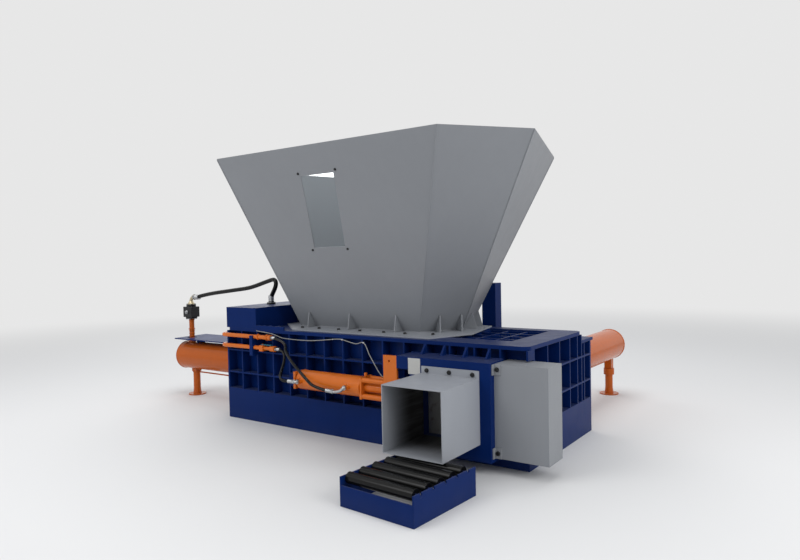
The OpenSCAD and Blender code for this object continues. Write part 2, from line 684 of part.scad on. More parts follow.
// Frame welded to the front: guides for the gate, a short tunnel and four gussets
module gate_frame() color(blue) difference() {
    union() {
        slab([frame_left, frame_y, frame_z0], [frame_right, slot_y, frame_z1]);
        slab([frame_left, slot_y, frame_z1 - frame_t], [frame_right, -half_d, frame_z1]);
        slab([frame_left, slot_y, frame_z0], [frame_right, -half_d, frame_z0 + frame_t]);
        slab([frame_left, slot_y, frame_z0], [frame_left + frame_t, -half_d, frame_z1]);
        slab([frame_right - frame_t, slot_y, frame_z0], [frame_right, -half_d, frame_z1]);
        slab([frame_left, slot_back, frame_z0], [frame_right, slot_back + frame_t, frame_z1]);
        slab([frame_left, slot_y, gate_z1 + gate_gap], [frame_right, slot_back, frame_z1]);
        slab([frame_left, slot_y, frame_z0], [frame_right, slot_back, gate_z0 - gate_gap]);
        difference() {
            gate_passage(slot_back + frame_t, -skin);
            slab([channel_left, slot_back, floor_z], [channel_right, -skin + 1, chamber_top]);
        }
        for (x = [130, 310, 504, 697]) translate([frame_left + x + 8, -half_d, frame_z1]) rotate([0, -90, 0])
            linear_extrude(16) polygon([[0, 0], [0, -60], [72, 0]]);
    }
    slab([channel_left, frame_y - 1, floor_z], [channel_right, slot_back + frame_t + 1, chamber_top]);
    slab([frame_left + frame_t, slot_y, gate_z0 - gate_gap],
        [frame_right + 1, slot_back, gate_z1 + gate_gap]);
    slab([frame_left - 1, frame_y - 1, frame_open[0]], [window_l, slot_y + 1, frame_open[1]]);
    bar_x(frame_left - 1, frame_left + frame_t + 1, gate_rod_d + 8, gate_axis, gate_cyl_z);
    for (x = chute_bolt_x)
        bar_y(frame_y - 1, frame_y + 46, 17, x, chute_bolt_z);
}
module gate() color(steel) slab([gate_left, gate_y0, gate_z0], [gate_right, gate_y1, gate_z1]);
// Sheet box open to the left, with two bolted tabs
module gate_cover() color(grey) difference() {
    union() {
        slab([frame_right, cover_y, cover_z0], [cover_right, cover_y + cover_d, cover_z1]);
        for (z = lug_z) {
            slab([frame_right, cover_y - 40, z - lug[1] / 2],
                [frame_right + lug[2], cover_y, z + lug[1] / 2]);
            slab([frame_right, cover_y - lug[2], z - lug[1] / 2],
                [frame_right + lug[0], cover_y, z + lug[1] / 2]);
        }
    }
    slab([frame_right - 1, cover_y + cover_t, cover_z0 + cover_t],
        [cover_right - cover_t, cover_y + cover_d - cover_t, cover_z1 - cover_t]);
    for (z = lug_z)
        bar_y(cover_y - lug[2] - 1, cover_y + cover_t + 1, 17, frame_right + lug[3], z);
}
// Gate cylinder with its gland, and the neck and square foot behind it
module gate_barrel() color(orange) difference() {
    union() {
        bar_x(gate_barrel_x0, gate_barrel_x, gate_cyl_od, gate_axis, gate_cyl_z);
        bar_x(gate_barrel_x, gate_barrel_x + gate_neck[1], gate_neck[0], gate_axis, gate_cyl_z);
        bar_x(gate_barrel_x0 - gate_foot[2], gate_barrel_x0, 100, gate_axis, gate_cyl_z);
        slab([gate_foot_x, gate_axis - gate_foot[0] / 2, gate_cyl_z - gate_foot[0] / 2],
            [gate_foot_x + gate_foot[1], gate_axis + gate_foot[0] / 2, gate_cyl_z + gate_foot[0] / 2]);
        for (x = gate_port_x)
            bar_y(gate_axis - gate_cyl_od / 2 - port_out, gate_axis, 50, x, gate_cyl_z);
    }
    bar_x(gate_barrel_x0 + gate_cap_t, gate_barrel_x - gate_gland_l, gate_cyl_bore, gate_axis, gate_cyl_z);
    bar_x(gate_barrel_x - gate_gland_l - 1, gate_barrel_x + gate_neck[1] + 1, gate_rod_d + 2 * rod_gap,
        gate_axis, gate_cyl_z);
}
module gate_rod() color(steel) {
    bar_x(gate_barrel_x0 + gate_cap_t, gate_barrel_x0 + gate_cap_t + gate_piston_l,
        gate_cyl_bore - 2 * piston_gap, gate_axis, gate_cyl_z);
    bar_x(gate_barrel_x0 + gate_cap_t, gate_left, gate_rod_d, gate_axis, gate_cyl_z);
}
// Two square ends joined by four bars
module gate_cage() color(orange) difference() {
    union() {
        for (x = [gate_barrel_x, frame_left - cage_t])
            slab([x, gate_axis - cage[0] / 2, gate_cyl_z - cage[1] / 2],
                [x + cage_t, gate_axis + cage[0] / 2, gate_cyl_z + cage[1] / 2]);
        for (y = [-1, 1], z = [-1, 1])
            bar_x(gate_barrel_x, frame_left, cage_bar[0],
                gate_axis + y * cage_bar[1], gate_cyl_z + z * cage_bar[2]);
        bar_z(gate_cyl_z + cage[1] / 2, gate_cyl_z + cage[1] / 2 + 28, 26,
            gate_barrel_x + cage_t / 2, gate_axis);
    }
    bar_x(gate_barrel_x - 1, frame_left + 1, gate_rod_d + 8, gate_axis, gate_cyl_z);
    bar_x(gate_barrel_x - 1, gate_barrel_x + cage_t + 1, gate_neck[0] + 2 * seat, gate_axis, gate_cyl_z);
}
module gate_bracket() color(blue) {
    slab([gate_foot_x - 175, -half_d - 16, gate_cyl_z - 60], [gate_foot_x + 25, -half_d, gate_cyl_z + 60]);
    slab([gate_foot_x - 60, gate_axis - 62, gate_cyl_z - 55], [gate_foot_x, -half_d - 16, gate_cyl_z + 55]);
}
module lug_plate() color(orange) difference() {
    slab([frame_left - 128, frame_y, 400], [frame_left, frame_y + 21, 795]);
    bar_y(frame_y - 1, frame_y + 22, 18, frame_left - 71, 751);
}
// Square sheet duct with a bolted flange above it
module chute() color(grey) difference() {
    union() {
        slab([chute_x, frame_y - chute_l, chute_z0], [chute_x + chute_w, frame_y, chute_top]);
        slab([chute_x, frame_y - chute_flange_t, chute_top - chute_t],
            [chute_x + chute_w, frame_y, chute_top + chute_flange_h]);
    }
    slab([chute_x + chute_t, frame_y - chute_l - 1, chute_z0 + chute_t],
        [chute_x + chute_w - chute_t, frame_y + 1, chute_top - chute_t]);
    for (x = chute_bolt_x)
        bar_y(frame_y - chute_flange_t - 1, frame_y + 1, 17, x, chute_bolt_z);
}

// One flat hopper wall, its ends mitred against its neighbours
module wall(i) {
    k = (i + 1) % 6;
    lo = [foot_out[i], foot_out[k], foot_in[k], foot_in[i]];
    hi = [rim_out[i], rim_out[k], rim_in[k], rim_in[i]];
    polyhedron(concat(lift(lo, foot_z), lift(hi, rim_z)), [[0, 1, 2, 3], [7, 6, 5, 4],
        [4, 5, 1, 0], [5, 6, 2, 1], [6, 7, 3, 2], [7, 4, 0, 3]]);
}
// Places its children on the front wall's outer face, over a point at height z
module on_front(x, z) translate([x, front_y(z), z]) rotate([90 + front_tilt, 0, 0]) children();
module hopper_front() color(grey) difference() {
    wall(0);
    on_front(window_at[0], window_z[0]) {
        translate([0, 0, -20]) linear_extrude(40) polygon(window_points(0));
        for (p = window_points(window_bolt_out))
            translate([p[0], p[1], -20]) cylinder(h = 40, d = 11, $fn = 24);
    }
}
module hopper_corner_right() color(grey) wall(1);
module hopper_side_right() color(grey) wall(2);
module hopper_back() color(grey) wall(3);
module hopper_side_left() color(grey) wall(4);
module hopper_corner_left() color(grey) wall(5);
module window_pane() color([0.7, 0.8, 0.85]) on_front(window_at[0], window_z[0]) difference() {
    translate([0, 0, -pane_back - pane_t]) linear_extrude(pane_t) polygon(window_points(pane_out));
    for (p = window_points(window_bolt_out))
        translate([p[0], p[1], -pane_back - pane_t - 1]) cylinder(h = pane_t + 2, d = 11, $fn = 24);
}
module hopper_flange() color(grey) difference() {
    translate([0, 0, body_h]) linear_extrude(flange_t) polygon(flange_out);
    slab([feed_left, feed_front, body_h - 1], [feed_right, inside - 12, foot_z + 1]);
    for (p = flange_bolts)
        bar_z(body_h - 1, foot_z + 1, 17, p[0], p[1]);
}
// Stiffener at point p, turned so that it stands out from a wall that leans by k
module gusset(p, turn, k) translate([p[0], p[1], foot_z]) rotate(turn) rotate([90, 0, 0])
    translate([0, 0, -gusset_t / 2]) linear_extrude(gusset_t)
        polygon([[0.5, 0], [gusset_l, 0], [k * gusset_h + 8, gusset_h], [k * gusset_h + 0.5, gusset_h]]);
function foot_at(i, t) = foot_out[i] * (1 - t) + foot_out[(i + 1) % 6] * t;
function lean(i) = let (n = -side_in(foot_out[i], foot_out[(i + 1) % 6]))
    (rim_out[i] - foot_out[i]) * n / (rim_z - foot_z);
function turn_of(i) = let (n = -side_in(foot_out[i], foot_out[(i + 1) % 6])) atan2(n[1], n[0]);
module hopper_gussets() color(grey) {
    for (x = [-755, -257, 262]) gusset([x, foot_front_y], -90, front_lean);
    for (t = [0.37, 0.87]) gusset(foot_at(1, t), turn_of(1), lean(1));
    for (t = [0.18, 0.9]) gusset(foot_at(2, t), turn_of(2), lean(2));
}
// Sheets inside the hopper's foot that slope down to the feed opening
module feed_slopes() color(grey) intersection() {
    difference() {
        translate([0, inside - 14, 0]) rotate([90, 0, 0]) linear_extrude(inside - feed_front - 10) {
            polygon([[feed_left - 8, foot_z], [feed_left, foot_z],
                [slope_rise[0][0], foot_z + slope_rise[0][1] + 6],
                [slope_rise[0][0], foot_z + slope_rise[0][1]]]);
            polygon([[feed_right, foot_z], [feed_right + 8, foot_z],
                [feed_right + 300, foot_z + slope_rise[1][1]],
                [feed_right + 300, foot_z + slope_rise[1][1] + 6]]);
        }
    }
    polyhedron(concat(lift(shrink(foot_in, 1), foot_z), lift(shrink(rim_in, 1), rim_z)),
        concat([[0, 1, 2, 3, 4, 5]], [[11, 10, 9, 8, 7, 6]],
            [for (i = [0 : 5]) [i + 6, (i + 1) % 6 + 6, (i + 1) % 6, i]]));
}
// All hexagon bolts: chute flange, cover tabs, hopper flange and window
module bolts() color(black) {
    for (x = chute_bolt_x)
        translate([x, frame_y - chute_flange_t, chute_bolt_z]) rotate([90, 0, 0]) bolt(16, 50);
    for (z = lug_z)
        translate([frame_right + lug[3], cover_y - lug[2], z]) rotate([90, 0, 0]) bolt(16, 24);
    for (p = flange_bolts)
        translate([p[0], p[1], foot_z]) bolt(16, 38);
    on_front(window_at[0], window_z[0])
        for (p = window_points(window_bolt_out))
            translate([p[0], p[1], 0]) bolt(10, 22);
}

// Two oil pipes with the ball valve and the tee
module oil_pipes() color(orange) {
    for (i = [0, 1]) {
        bar_x(pipe_left + bend_r, pipe_right[i], pipe_d, pipe_y, pipe_z[i]);
        translate([pipe_left + bend_r, pipe_y + bend_r, pipe_z[i]]) rotate(180)
            rotate_extrude(angle = 90) translate([bend_r, 0]) circle(d = pipe_d);
        bar_y(pipe_y + bend_r, pipe_back[i], pipe_d, pipe_left, pipe_z[i]);
        translate([pipe_left, pipe_back[i], pipe_z[i]]) sphere(d = pipe_d);
        bar_x(pipe_left, -half_l, pipe_d, pipe_back[i], pipe_z[i]);
        bar_x(-half_l - 14, -half_l, pipe_d + 18, pipe_back[i], pipe_z[i]);
    }
    bar_x(pipe_right[0] - 30, pipe_right[0], pipe_d + 12, pipe_y, pipe_z[0]);
    slab([pipe_right[1], pipe_y - 28, pipe_z[1] - 28], [valve_x + 23, pipe_y + 28, pipe_z[1] + 28]);
    bar_x(valve_x + 23, tee_x + 38, pipe_d - 6, pipe_y, pipe_z[1]);
    bar_x(tee_x - 30, tee_x + 30, pipe_d + 12, pipe_y, pipe_z[1]);
    bar_z(pipe_z[1] + 28, pipe_z[1] + 40, 16, valve_x, pipe_y);
}
// Clamp on the front ribs that holds both pipes
module pipe_clamp() color(blue) difference() {
    slab([clamp_x - 20, pipe_y - 32, pipe_z[1] - 77], [clamp_x + 20, -half_d, pipe_z[0] + 12]);
    for (z = pipe_z)
        bar_x(clamp_x - 21, clamp_x + 21, pipe_d + 2 * seat, pipe_y, z);
}
module valve_lever() color(orange) difference() {
    slab([valve_x - 14, pipe_y - 12, pipe_z[1] + 30], [valve_x + 120, pipe_y + 12, pipe_z[1] + 36]);
    bar_z(pipe_z[1] + 29, pipe_z[1] + 37, 16 + 2 * rod_gap, valve_x, pipe_y);
}
// Two hoses to the gate cylinder with their ferrules and elbows
module gate_hoses() color(black) {
    tube(front_hose, hose_d);
    tube(rear_hose, hose_d);
    y1 = gate_axis - gate_cyl_od / 2 - port_out;
    y0 = front_hose[len(front_hose) - 1][1];
    for (i = [0, 1]) let (e = i == 0 ? front_hose[len(front_hose) - 1] : rear_hose[len(rear_hose) - 1]) {
        bar_x(e[0] - 70, gate_port_x[i], hose_d + 8, y0, e[2]);
        translate([gate_port_x[i], y0, e[2]]) sphere(d = hose_d + 8);
        translate([gate_port_x[i], y0, gate_cyl_z]) sphere(d = hose_d + 8);
        if (e[2] < gate_cyl_z)
            bar_z(e[2], gate_cyl_z, hose_d + 8, gate_port_x[i], y0);
        bar_y(y0, y1, hose_d + 8, gate_port_x[i], gate_cyl_z);
    }
}
// Valve on the main barrel's oil post, with its flange and elbow
module main_valve() color(black) {
    bar_z(post_top, post_top + 18, 130, port_x, main_y);
    slab([port_x - 75, main_y - 60, post_top + 18], [port_x + 75, main_y + 60, post_top + 140]);
    bar_z(post_top + 140, post_top + 168, 110, port_x, main_y);
    bar_z(post_top + 168, elbow_z, 50, port_x, main_y);
    translate([port_x, main_y, elbow_z]) sphere(d = 50);
    bar_x(port_x, port_x + 74, 50, main_y, elbow_z);
}
module main_hose() color(black) {
    tube(main_hose_route, main_hose_d);
    bar_z(block_top, block_top + hose_ferrule[1], hose_ferrule[0], hose_foot[0], hose_foot[1]);
}
module sensor_lead() color(black) {
    tube(sensor_route, lead_d, sides = 8);
    for (c = lead_clips)
        slab([c[0] - 8, c[1] - 8, c[2] - 8], [c[0] + 8, -half_d, c[2] + 8]);
    bar_y(-650, -585, 18, sensor_end[0] + 10, sensor_end[2]);
}
module rear_post() color(blue) difference() {
    slab([box_left - 140, 600, 0], [box_left, 720, 1300]);
    slab([box_left - 132, 608, -1], [box_left - 8, 712, 1292]);
}
// Plate over the main barrel on three low saddles
module cylinder_guard() color(blue) difference() {
    union() {
        slab([guard_x[0], -150, guard_z], [guard_x[1], 300, guard_z + 12]);
        for (t = [0.22, 0.57, 0.9]) let (x = guard_x[0] + t * (guard_x[1] - guard_x[0]))
            slab([x - 10, main_y - 50, main_z + main_od / 2 - 20], [x + 10, main_y + 50, guard_z]);
    }
    bar_x(guard_x[0] - 10, guard_x[1] + 10, main_od + 2 * seat, main_y, main_z);
    bar_z(guard_z - 1, guard_z + 13, 110, port_x, main_y);
}

// Puts its children in the table's own frame
module at_table() translate([table_at[0], table_at[1], 0]) rotate(table_turn) children();
module table_frame() color(blue) at_table() difference() {
    union() {
        for (x = [-table_w, -table_t])
            slab([x, 0, 0], [x + table_t, table_l, table_side_h]);
        for (y = [0, table_l - beam_t])
            slab([-table_w + table_t, y, 0], [-table_t, y + beam_t, table_beam_h]);
        for (x = rest_x)
            slab([x - 25, table_l - beam_t, table_beam_h], [x + 25, table_l, chute_z0]);
    }
    for (y = shaft_y) {
        bar_x(-table_w - 1, 1, shaft_d + 2 * seat, y, roller_z);
        slab([-table_w - 1, y - shaft_d / 2 - seat, roller_z],
            [1, y + shaft_d / 2 + seat, table_side_h + 1]);
    }
}
// Shafts that drop into open slots of the side plates
module roller_shafts() color(steel) at_table() for (y = shaft_y)
    bar_x(-table_w, 0, shaft_d, y, roller_z);
module roller(i) if (i < rollers) color(black) at_table() translate([0, shaft_y[i], 0]) difference() {
    bar_x(-table_w + table_t + roller_end[0], -table_t - roller_end[1], roller_d, 0, roller_z);
    bar_x(-table_w, 0, shaft_d + 2 * shaft_gap, 0, roller_z);
    bar_x(-table_w + table_t + roller_end[0] + roller_disc, -table_t - roller_end[1] - roller_disc,
        roller_d - 2 * roller_wall, 0, roller_z);
}
module roller_1() roller(0);
module roller_2() roller(1);
module roller_3() roller(2);
module roller_4() roller(3);
module roller_5() roller(4);

base_frame();
chamber_floor();
front_wall();
back_wall();
left_wall();
thrust_wall();
right_wall();
chamber_roof();
front_ribs();
right_ribs();
top_plate();
recess_ribs();
end_block();
rear_box();
main_barrel();
main_gland();
main_rod();
main_ram();
main_pedestal();
side_barrel();
side_gland();
side_rod();
side_ram();
side_pedestal();
gate_frame();
gate();
gate_cover();
gate_barrel();
gate_cage();
gate_rod();
gate_bracket();
lug_plate();
chute();
bolts();
hopper_front();
hopper_corner_right();
hopper_side_right();
hopper_back();
hopper_side_left();
hopper_corner_left();
hopper_flange();
hopper_gussets();
feed_slopes();
window_pane();
oil_pipes();
pipe_clamp();
valve_lever();
gate_hoses();
main_valve();
main_hose();
sensor_lead();
rear_post();
cylinder_guard();
table_frame();
roller_shafts();
roller_1();
roller_2();
roller_3();
roller_4();
roller_5();
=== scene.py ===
"""Looks of the recycling baler: paint, dust, weld beads, hoses, fittings, lamps and the camera."""
import json
import math

import bmesh
import bpy
from mathutils import Matrix, Vector


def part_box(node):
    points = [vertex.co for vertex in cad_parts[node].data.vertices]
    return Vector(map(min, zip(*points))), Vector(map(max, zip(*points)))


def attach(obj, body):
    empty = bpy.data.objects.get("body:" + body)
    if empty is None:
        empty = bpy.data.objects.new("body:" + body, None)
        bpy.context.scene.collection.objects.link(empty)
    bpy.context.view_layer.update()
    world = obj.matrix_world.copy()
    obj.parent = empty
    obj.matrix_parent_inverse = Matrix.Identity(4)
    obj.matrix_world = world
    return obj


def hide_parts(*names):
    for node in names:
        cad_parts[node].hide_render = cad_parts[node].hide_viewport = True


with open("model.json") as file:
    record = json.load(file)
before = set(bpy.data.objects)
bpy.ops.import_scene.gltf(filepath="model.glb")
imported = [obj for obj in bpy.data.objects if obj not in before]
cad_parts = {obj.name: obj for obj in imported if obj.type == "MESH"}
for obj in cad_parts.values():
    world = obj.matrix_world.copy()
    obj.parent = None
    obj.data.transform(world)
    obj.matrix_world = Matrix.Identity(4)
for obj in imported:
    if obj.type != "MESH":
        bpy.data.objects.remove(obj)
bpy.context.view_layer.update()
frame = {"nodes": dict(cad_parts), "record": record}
MACHINE = "machine"

# Camera, fitted to the photograph
CAMERA_AT = Vector((3.5348, -4.8226, 1.5591))
CAMERA_YAW = math.radians(35.27)
CAMERA_PITCH = -0.0350
CAMERA_ROLL = -0.0212
FOCAL_PIXELS = 648.83
FRAME_PIXELS = 800
SENSOR_MM = 36.0

# Paints and metals, linear colours
BLUE = (0.0028, 0.0190, 0.116)
GREY = (0.272, 0.284, 0.304)
# Hopper grey lightened as painted light: it offsets the shade under the hopper on its flange and
# lightens the chute
LIT_GREY = (0.355, 0.372, 0.405)
ORANGE = (0.500, 0.102, 0.009)
# Cylinder orange lightened as painted light, for the well-lit gate cylinder and its pipes
LIT_ORANGE = (0.660, 0.150, 0.012)
TEAL = (0.030, 0.170, 0.230)
CHROME = (0.62, 0.63, 0.65)
BARE_STEEL = (0.33, 0.33, 0.33)
ZINC = (0.46, 0.47, 0.48)
YELLOW_ZINC = (0.58, 0.50, 0.34)
RUBBER = (0.004, 0.004, 0.004)
BLACK = (0.010, 0.010, 0.011)
DEEP_BLACK = (0.005, 0.005, 0.005)
LEAD_GREY = (0.30, 0.30, 0.29)
# Near black of the painted shade on the chute's inner faces
INSIDE_SHADE = (0.020, 0.018, 0.017)
PLATE_WHITE = (0.52, 0.52, 0.50)
PLAIN_PRIMER = (0.16, 0.15, 0.14)
DARK_PRIMER = (0.14, 0.12, 0.11)
DUST = (0.125, 0.126, 0.130)
RUST = (0.10, 0.045, 0.02)

# Faces that meet at less than these angles are shaded as one, on the solids and on the meshes made here
SOLID_SMOOTH = math.radians(25)
MESH_SMOOTH = math.radians(35)


# Shader helpers

def input_of(node, key):
    """Input of a node, by its number as in i0 or by its name with _ for a space."""
    if key[0] == "i" and key[1:].isdigit():
        return node.inputs[int(key[1:])]
    return node.inputs[key.replace("_", " ")]


def put(tree, kind, settings=None, **sockets):
    """Adds a node. A socket given as another node's output is linked, any other value is set."""
    node = tree.nodes.new(kind)
    for key, value in (settings or {}).items():
        setattr(node, key, value)
    for key, value in sockets.items():
        socket = input_of(node, key)
        if isinstance(value, bpy.types.NodeSocket):
            tree.links.new(value, socket)
        else:
            socket.default_value = value
    return node


def new_group(name, inputs, outputs):
    """Empty shader node group with named sockets, and its two end nodes."""
    tree = bpy.data.node_groups.new(name, "ShaderNodeTree")
    for direction, sockets in (("INPUT", inputs), ("OUTPUT", outputs)):
        for label, kind, default in sockets:
            socket = tree.interface.new_socket(label, in_out=direction, socket_type=kind)
            if default is not None:
                socket.default_value = default
    return tree, tree.nodes.new("NodeGroupInput").outputs, tree.nodes.new("NodeGroupOutput").inputs


def math_node(tree, operation, a, b, clamp=False):
    """Result of one sum or comparison of two values."""
    settings = {"operation": operation, "use_clamp": clamp}
    return put(tree, "ShaderNodeMath", settings, i0=a, i1=b).outputs[0]


def times(tree, a, b, clamp=False):
    return math_node(tree, "MULTIPLY", a, b, clamp)


def plus(tree, a, b, clamp=False):
    return math_node(tree, "ADD", a, b, clamp)


def mix_colour(tree, factor, a, b, blend="MIX"):
    """Colour a blended with colour b."""
    node = put(tree, "ShaderNodeMix", {"data_type": "RGBA", "blend_type": blend}, i0=factor, i6=a, i7=b)
    return node.outputs[2]


def mix_value(tree, share, a, b):
    """Weighted mean of two values."""
    return plus(tree, times(tree, a, 1.0 - share), times(tree, b, share))


def ramp(tree, value, low, high, to_low=0.0, to_high=1.0):
    """Smooth step of a value, from to_low where it is low up to to_high where it is high."""
    node = put(tree, "ShaderNodeMapRange", {"interpolation_type": "SMOOTHSTEP"},
               Value=value, From_Min=low, From_Max=high, To_Min=to_low, To_Max=to_high)
    return node.outputs[0]


def noise_at(tree, place, scale, detail, rough=0.55):
    """Noise of a given number of waves to the metre."""
    node = put(tree, "ShaderNodeTexNoise", None,
               Vector=place, Scale=scale, Detail=detail, Roughness=rough)
    return node.outputs[0]


def object_place(tree):
    """Place on the piece, in metres."""
    return put(tree, "ShaderNodeTexCoord").outputs["Object"]


def stretched_place(tree, place, scale):
    """Place with its axes scaled, which draws out the noise made from it."""
    return put(tree, "ShaderNodeMapping", None, Vector=place, Scale=scale).outputs[0]


FLOAT, COLOUR, VECTOR = "NodeSocketFloat", "NodeSocketColor", "NodeSocketVector"


def paint_film():
    """Sprayed enamel: slow drifts in tone, runs down upright faces and a fine orange peel."""
    tree, given, out = new_group(
        "paint_film",
        [("Paint", COLOUR, (0.5, 0.5, 0.5, 1)), ("Drift", FLOAT, 0.10), ("Gloss", FLOAT, 0.35)],
        [("Color", COLOUR, None), ("Roughness", FLOAT, None), ("Height", FLOAT, None)])
    place = object_place(tree)
    stretched = stretched_place(tree, place, (7.0, 7.0, 0.9))
    slow = noise_at(tree, place, 1.7, 4.0)
    runs = noise_at(tree, stretched, 2.2, 3.0)
    tone = plus(tree, times(tree, slow, 0.65), times(tree, runs, 0.35))
    centred = math_node(tree, "SUBTRACT", tone, 0.5)
    swing = times(tree, given["Drift"], 4.0)
    gain = plus(tree, times(tree, centred, swing), 1.0)
    grey = put(tree, "ShaderNodeCombineColor", None, Red=gain, Green=gain, Blue=gain).outputs[0]
    tree.links.new(mix_colour(tree, 1.0, given["Paint"], grey, "MULTIPLY"), out["Color"])
    patches = noise_at(tree, place, 9.0, 5.0)
    uneven = times(tree, math_node(tree, "SUBTRACT", patches, 0.5), 0.18)
    tree.links.new(plus(tree, given["Gloss"], uneven), out["Roughness"])
    peel = noise_at(tree, place, 180.0, 2.0)
    waves = noise_at(tree, place, 6.0, 2.0)
    tree.links.new(plus(tree, times(tree, peel, 0.12), waves), out["Height"])
    return tree


def shop_dust():
    """Dust on upward faces and splashed dirt near the floor."""
    tree, given, out = new_group(
        "shop_dust",
        [("Color", COLOUR, (0.5, 0.5, 0.5, 1)), ("Roughness", FLOAT, 0.4), ("Amount", FLOAT, 0.5),
         ("Dust", COLOUR, (*DUST, 1))],
        [("Color", COLOUR, None), ("Roughness", FLOAT, None)])
    place = object_place(tree)
    normal = put(tree, "ShaderNodeNewGeometry").outputs["Normal"]
    facing = put(tree, "ShaderNodeSeparateXYZ", None, Vector=normal).outputs[2]
    height = put(tree, "ShaderNodeSeparateXYZ", None, Vector=place).outputs[2]
    cloud = noise_at(tree, place, 5.0, 6.0, 0.65)
    grains = noise_at(tree, place, 70.0, 3.0, 0.6)
    mottled = mix_value(tree, 0.3, cloud, grains)
    blot = ramp(tree, mottled, 0.30, 0.66, 0.25, 1.0)
    lying = times(tree, ramp(tree, facing, 0.55, 0.95), blot)
    low = times(tree, ramp(tree, height, 0.01, 0.14, 0.22, 0.0), blot)
    mask = times(tree, math_node(tree, "MAXIMUM", lying, low), given["Amount"], clamp=True)
    tree.links.new(mix_colour(tree, mask, given["Color"], given["Dust"]), out["Color"])
    rough = plus(tree, given["Roughness"], times(tree, mask, 0.35), clamp=True)
    tree.links.new(rough, out["Roughness"])
    return tree


def worn_edges():
    """Rounded normal of an edge, and the mask of the corners where paint has rubbed thin."""
    tree, given, out = new_group(
        "worn_edges", [("Reach", FLOAT, 0.003), ("Cover", FLOAT, 0.5)],
        [("Mask", FLOAT, None), ("Normal", VECTOR, None)])
    place = object_place(tree)
    rounded = put(tree, "ShaderNodeBevel", {"samples": 4}, Radius=given["Reach"]).outputs[0]
    flat = put(tree, "ShaderNodeNewGeometry").outputs["Normal"]
    cosine = put(tree, "ShaderNodeVectorMath", {"operation": "DOT_PRODUCT"}, i0=rounded, i1=flat)
    same = cosine.outputs["Value"]
    edge = ramp(tree, math_node(tree, "SUBTRACT", 1.0, same), 0.02, 0.16)
    broken = ramp(tree, noise_at(tree, place, 34.0, 5.0, 0.7), 0.48, 0.62)
    thin = times(tree, edge, broken)
    tree.links.new(times(tree, thin, given["Cover"], clamp=True), out["Mask"])
    tree.links.new(rounded, out["Normal"])
    return tree


def fine_marks():
    """Long handling scratches and smears for bare or plated metal."""
    tree, given, out = new_group(
        "fine_marks",
        [("Metal", COLOUR, (0.5, 0.5, 0.5, 1)), ("Stain", COLOUR, (*RUST, 1)), ("Staining", FLOAT, 0.2),
         ("Gloss", FLOAT, 0.3)],
        [("Color", COLOUR, None), ("Roughness", FLOAT, None), ("Height", FLOAT, None)])
    place = object_place(tree)
    along = stretched_place(tree, place, (2.0, 90.0, 90.0))
    scratch = noise_at(tree, along, 3.0, 4.0, 0.7)
    smear = noise_at(tree, place, 6.0, 5.0, 0.6)
    blotch = ramp(tree, noise_at(tree, place, 22.0, 6.0, 0.7), 0.52, 0.70)
    spots = times(tree, blotch, given["Staining"], clamp=True)
    tree.links.new(mix_colour(tree, spots, given["Metal"], given["Stain"]), out["Color"])
    dulling = times(tree, plus(tree, smear, spots), 0.25)
    tree.links.new(plus(tree, given["Gloss"], dulling, clamp=True), out["Roughness"])
    tree.links.new(scratch, out["Height"])
    return tree


GROUPS = {"film": paint_film(), "dust": shop_dust(), "wear": worn_edges(), "marks": fine_marks()}


def group_in(tree, key, **sockets):
    """One of the shared groups, put into a material."""
    return put(tree, "ShaderNodeGroup", {"node_tree": GROUPS[key]}, **sockets).outputs


def new_material(name):
    """Material with its node tree and the inputs of its shader."""
    material = bpy.data.materials.new(name)
    material.use_nodes = True
    tree = material.node_tree
    return material, tree, tree.nodes["Principled BSDF"].inputs


def bump(tree, height, depth, strength, normal=None):
    """Normal bent by a height, on top of another normal if one is given."""
    node = put(tree, "ShaderNodeBump", None, Height=height, Distance=depth, Strength=strength)
    if normal is not None:
        tree.links.new(normal, node.inputs["Normal"])
    return node.outputs[0]


def finish_with(tree, shader, colour, roughness, dust, normal):
    """Dusts a colour over and links it to the shader, with its roughness and its normal."""
    dusty = group_in(tree, "dust", Color=colour, Roughness=roughness, Amount=dust)
    tree.links.new(dusty["Color"], shader["Base Color"])
    tree.links.new(dusty["Roughness"], shader["Roughness"])
    tree.links.new(normal, shader["Normal"])


def peeled(tree, film, edge):
    """Normal of a sprayed film, with its orange peel and the softened edges."""
    return bump(tree, film["Height"], 0.0005, 0.3, edge["Normal"])


def enamel(name, paint, gloss, drift, dust, wear, primer, shine):
    """Sprayed machine enamel with softened edges, dust and thin corners."""
    material, tree, shader = new_material(name)
    film = group_in(tree, "film", Paint=(*paint, 1), Drift=drift, Gloss=gloss)
    edge = group_in(tree, "wear", Cover=wear)
    surface_colour = mix_colour(tree, edge["Mask"], film["Color"], (*primer, 1))
    finish_with(tree, shader, surface_colour, film["Roughness"], dust, peeled(tree, film, edge))
    shader["Specular IOR Level"].default_value = shine
    return material


def metal(name, colour, gloss, staining, depth=0.0002, dust=0.2):
    """Bare or plated metal with scratches and a little staining."""
    material, tree, shader = new_material(name)
    marks = group_in(tree, "marks", Metal=(*colour, 1), Staining=staining, Gloss=gloss)
    scratched = bump(tree, marks["Height"], depth, 0.4)
    finish_with(tree, shader, marks["Color"], marks["Roughness"], dust, scratched)
    shader["Metallic"].default_value = 1.0
    return material


def hose_cover(name, colour=RUBBER, gloss=0.17):
    """Rubber or plastic cover with a fine cloth mark and dust."""
    material, tree, shader = new_material(name)
    film = group_in(tree, "film", Paint=(*colour, 1), Drift=0.2, Gloss=gloss)
    cloth = bump(tree, noise_at(tree, object_place(tree), 420.0, 1.0), 0.0006, 0.4)
    finish_with(tree, shader, film["Color"], film["Roughness"], 0.08, cloth)
    shader["Specular IOR Level"].default_value = 0.20
    return material


# Top of the chute's square tube, under its flange
CHUTE_TOP_Z = 0.686


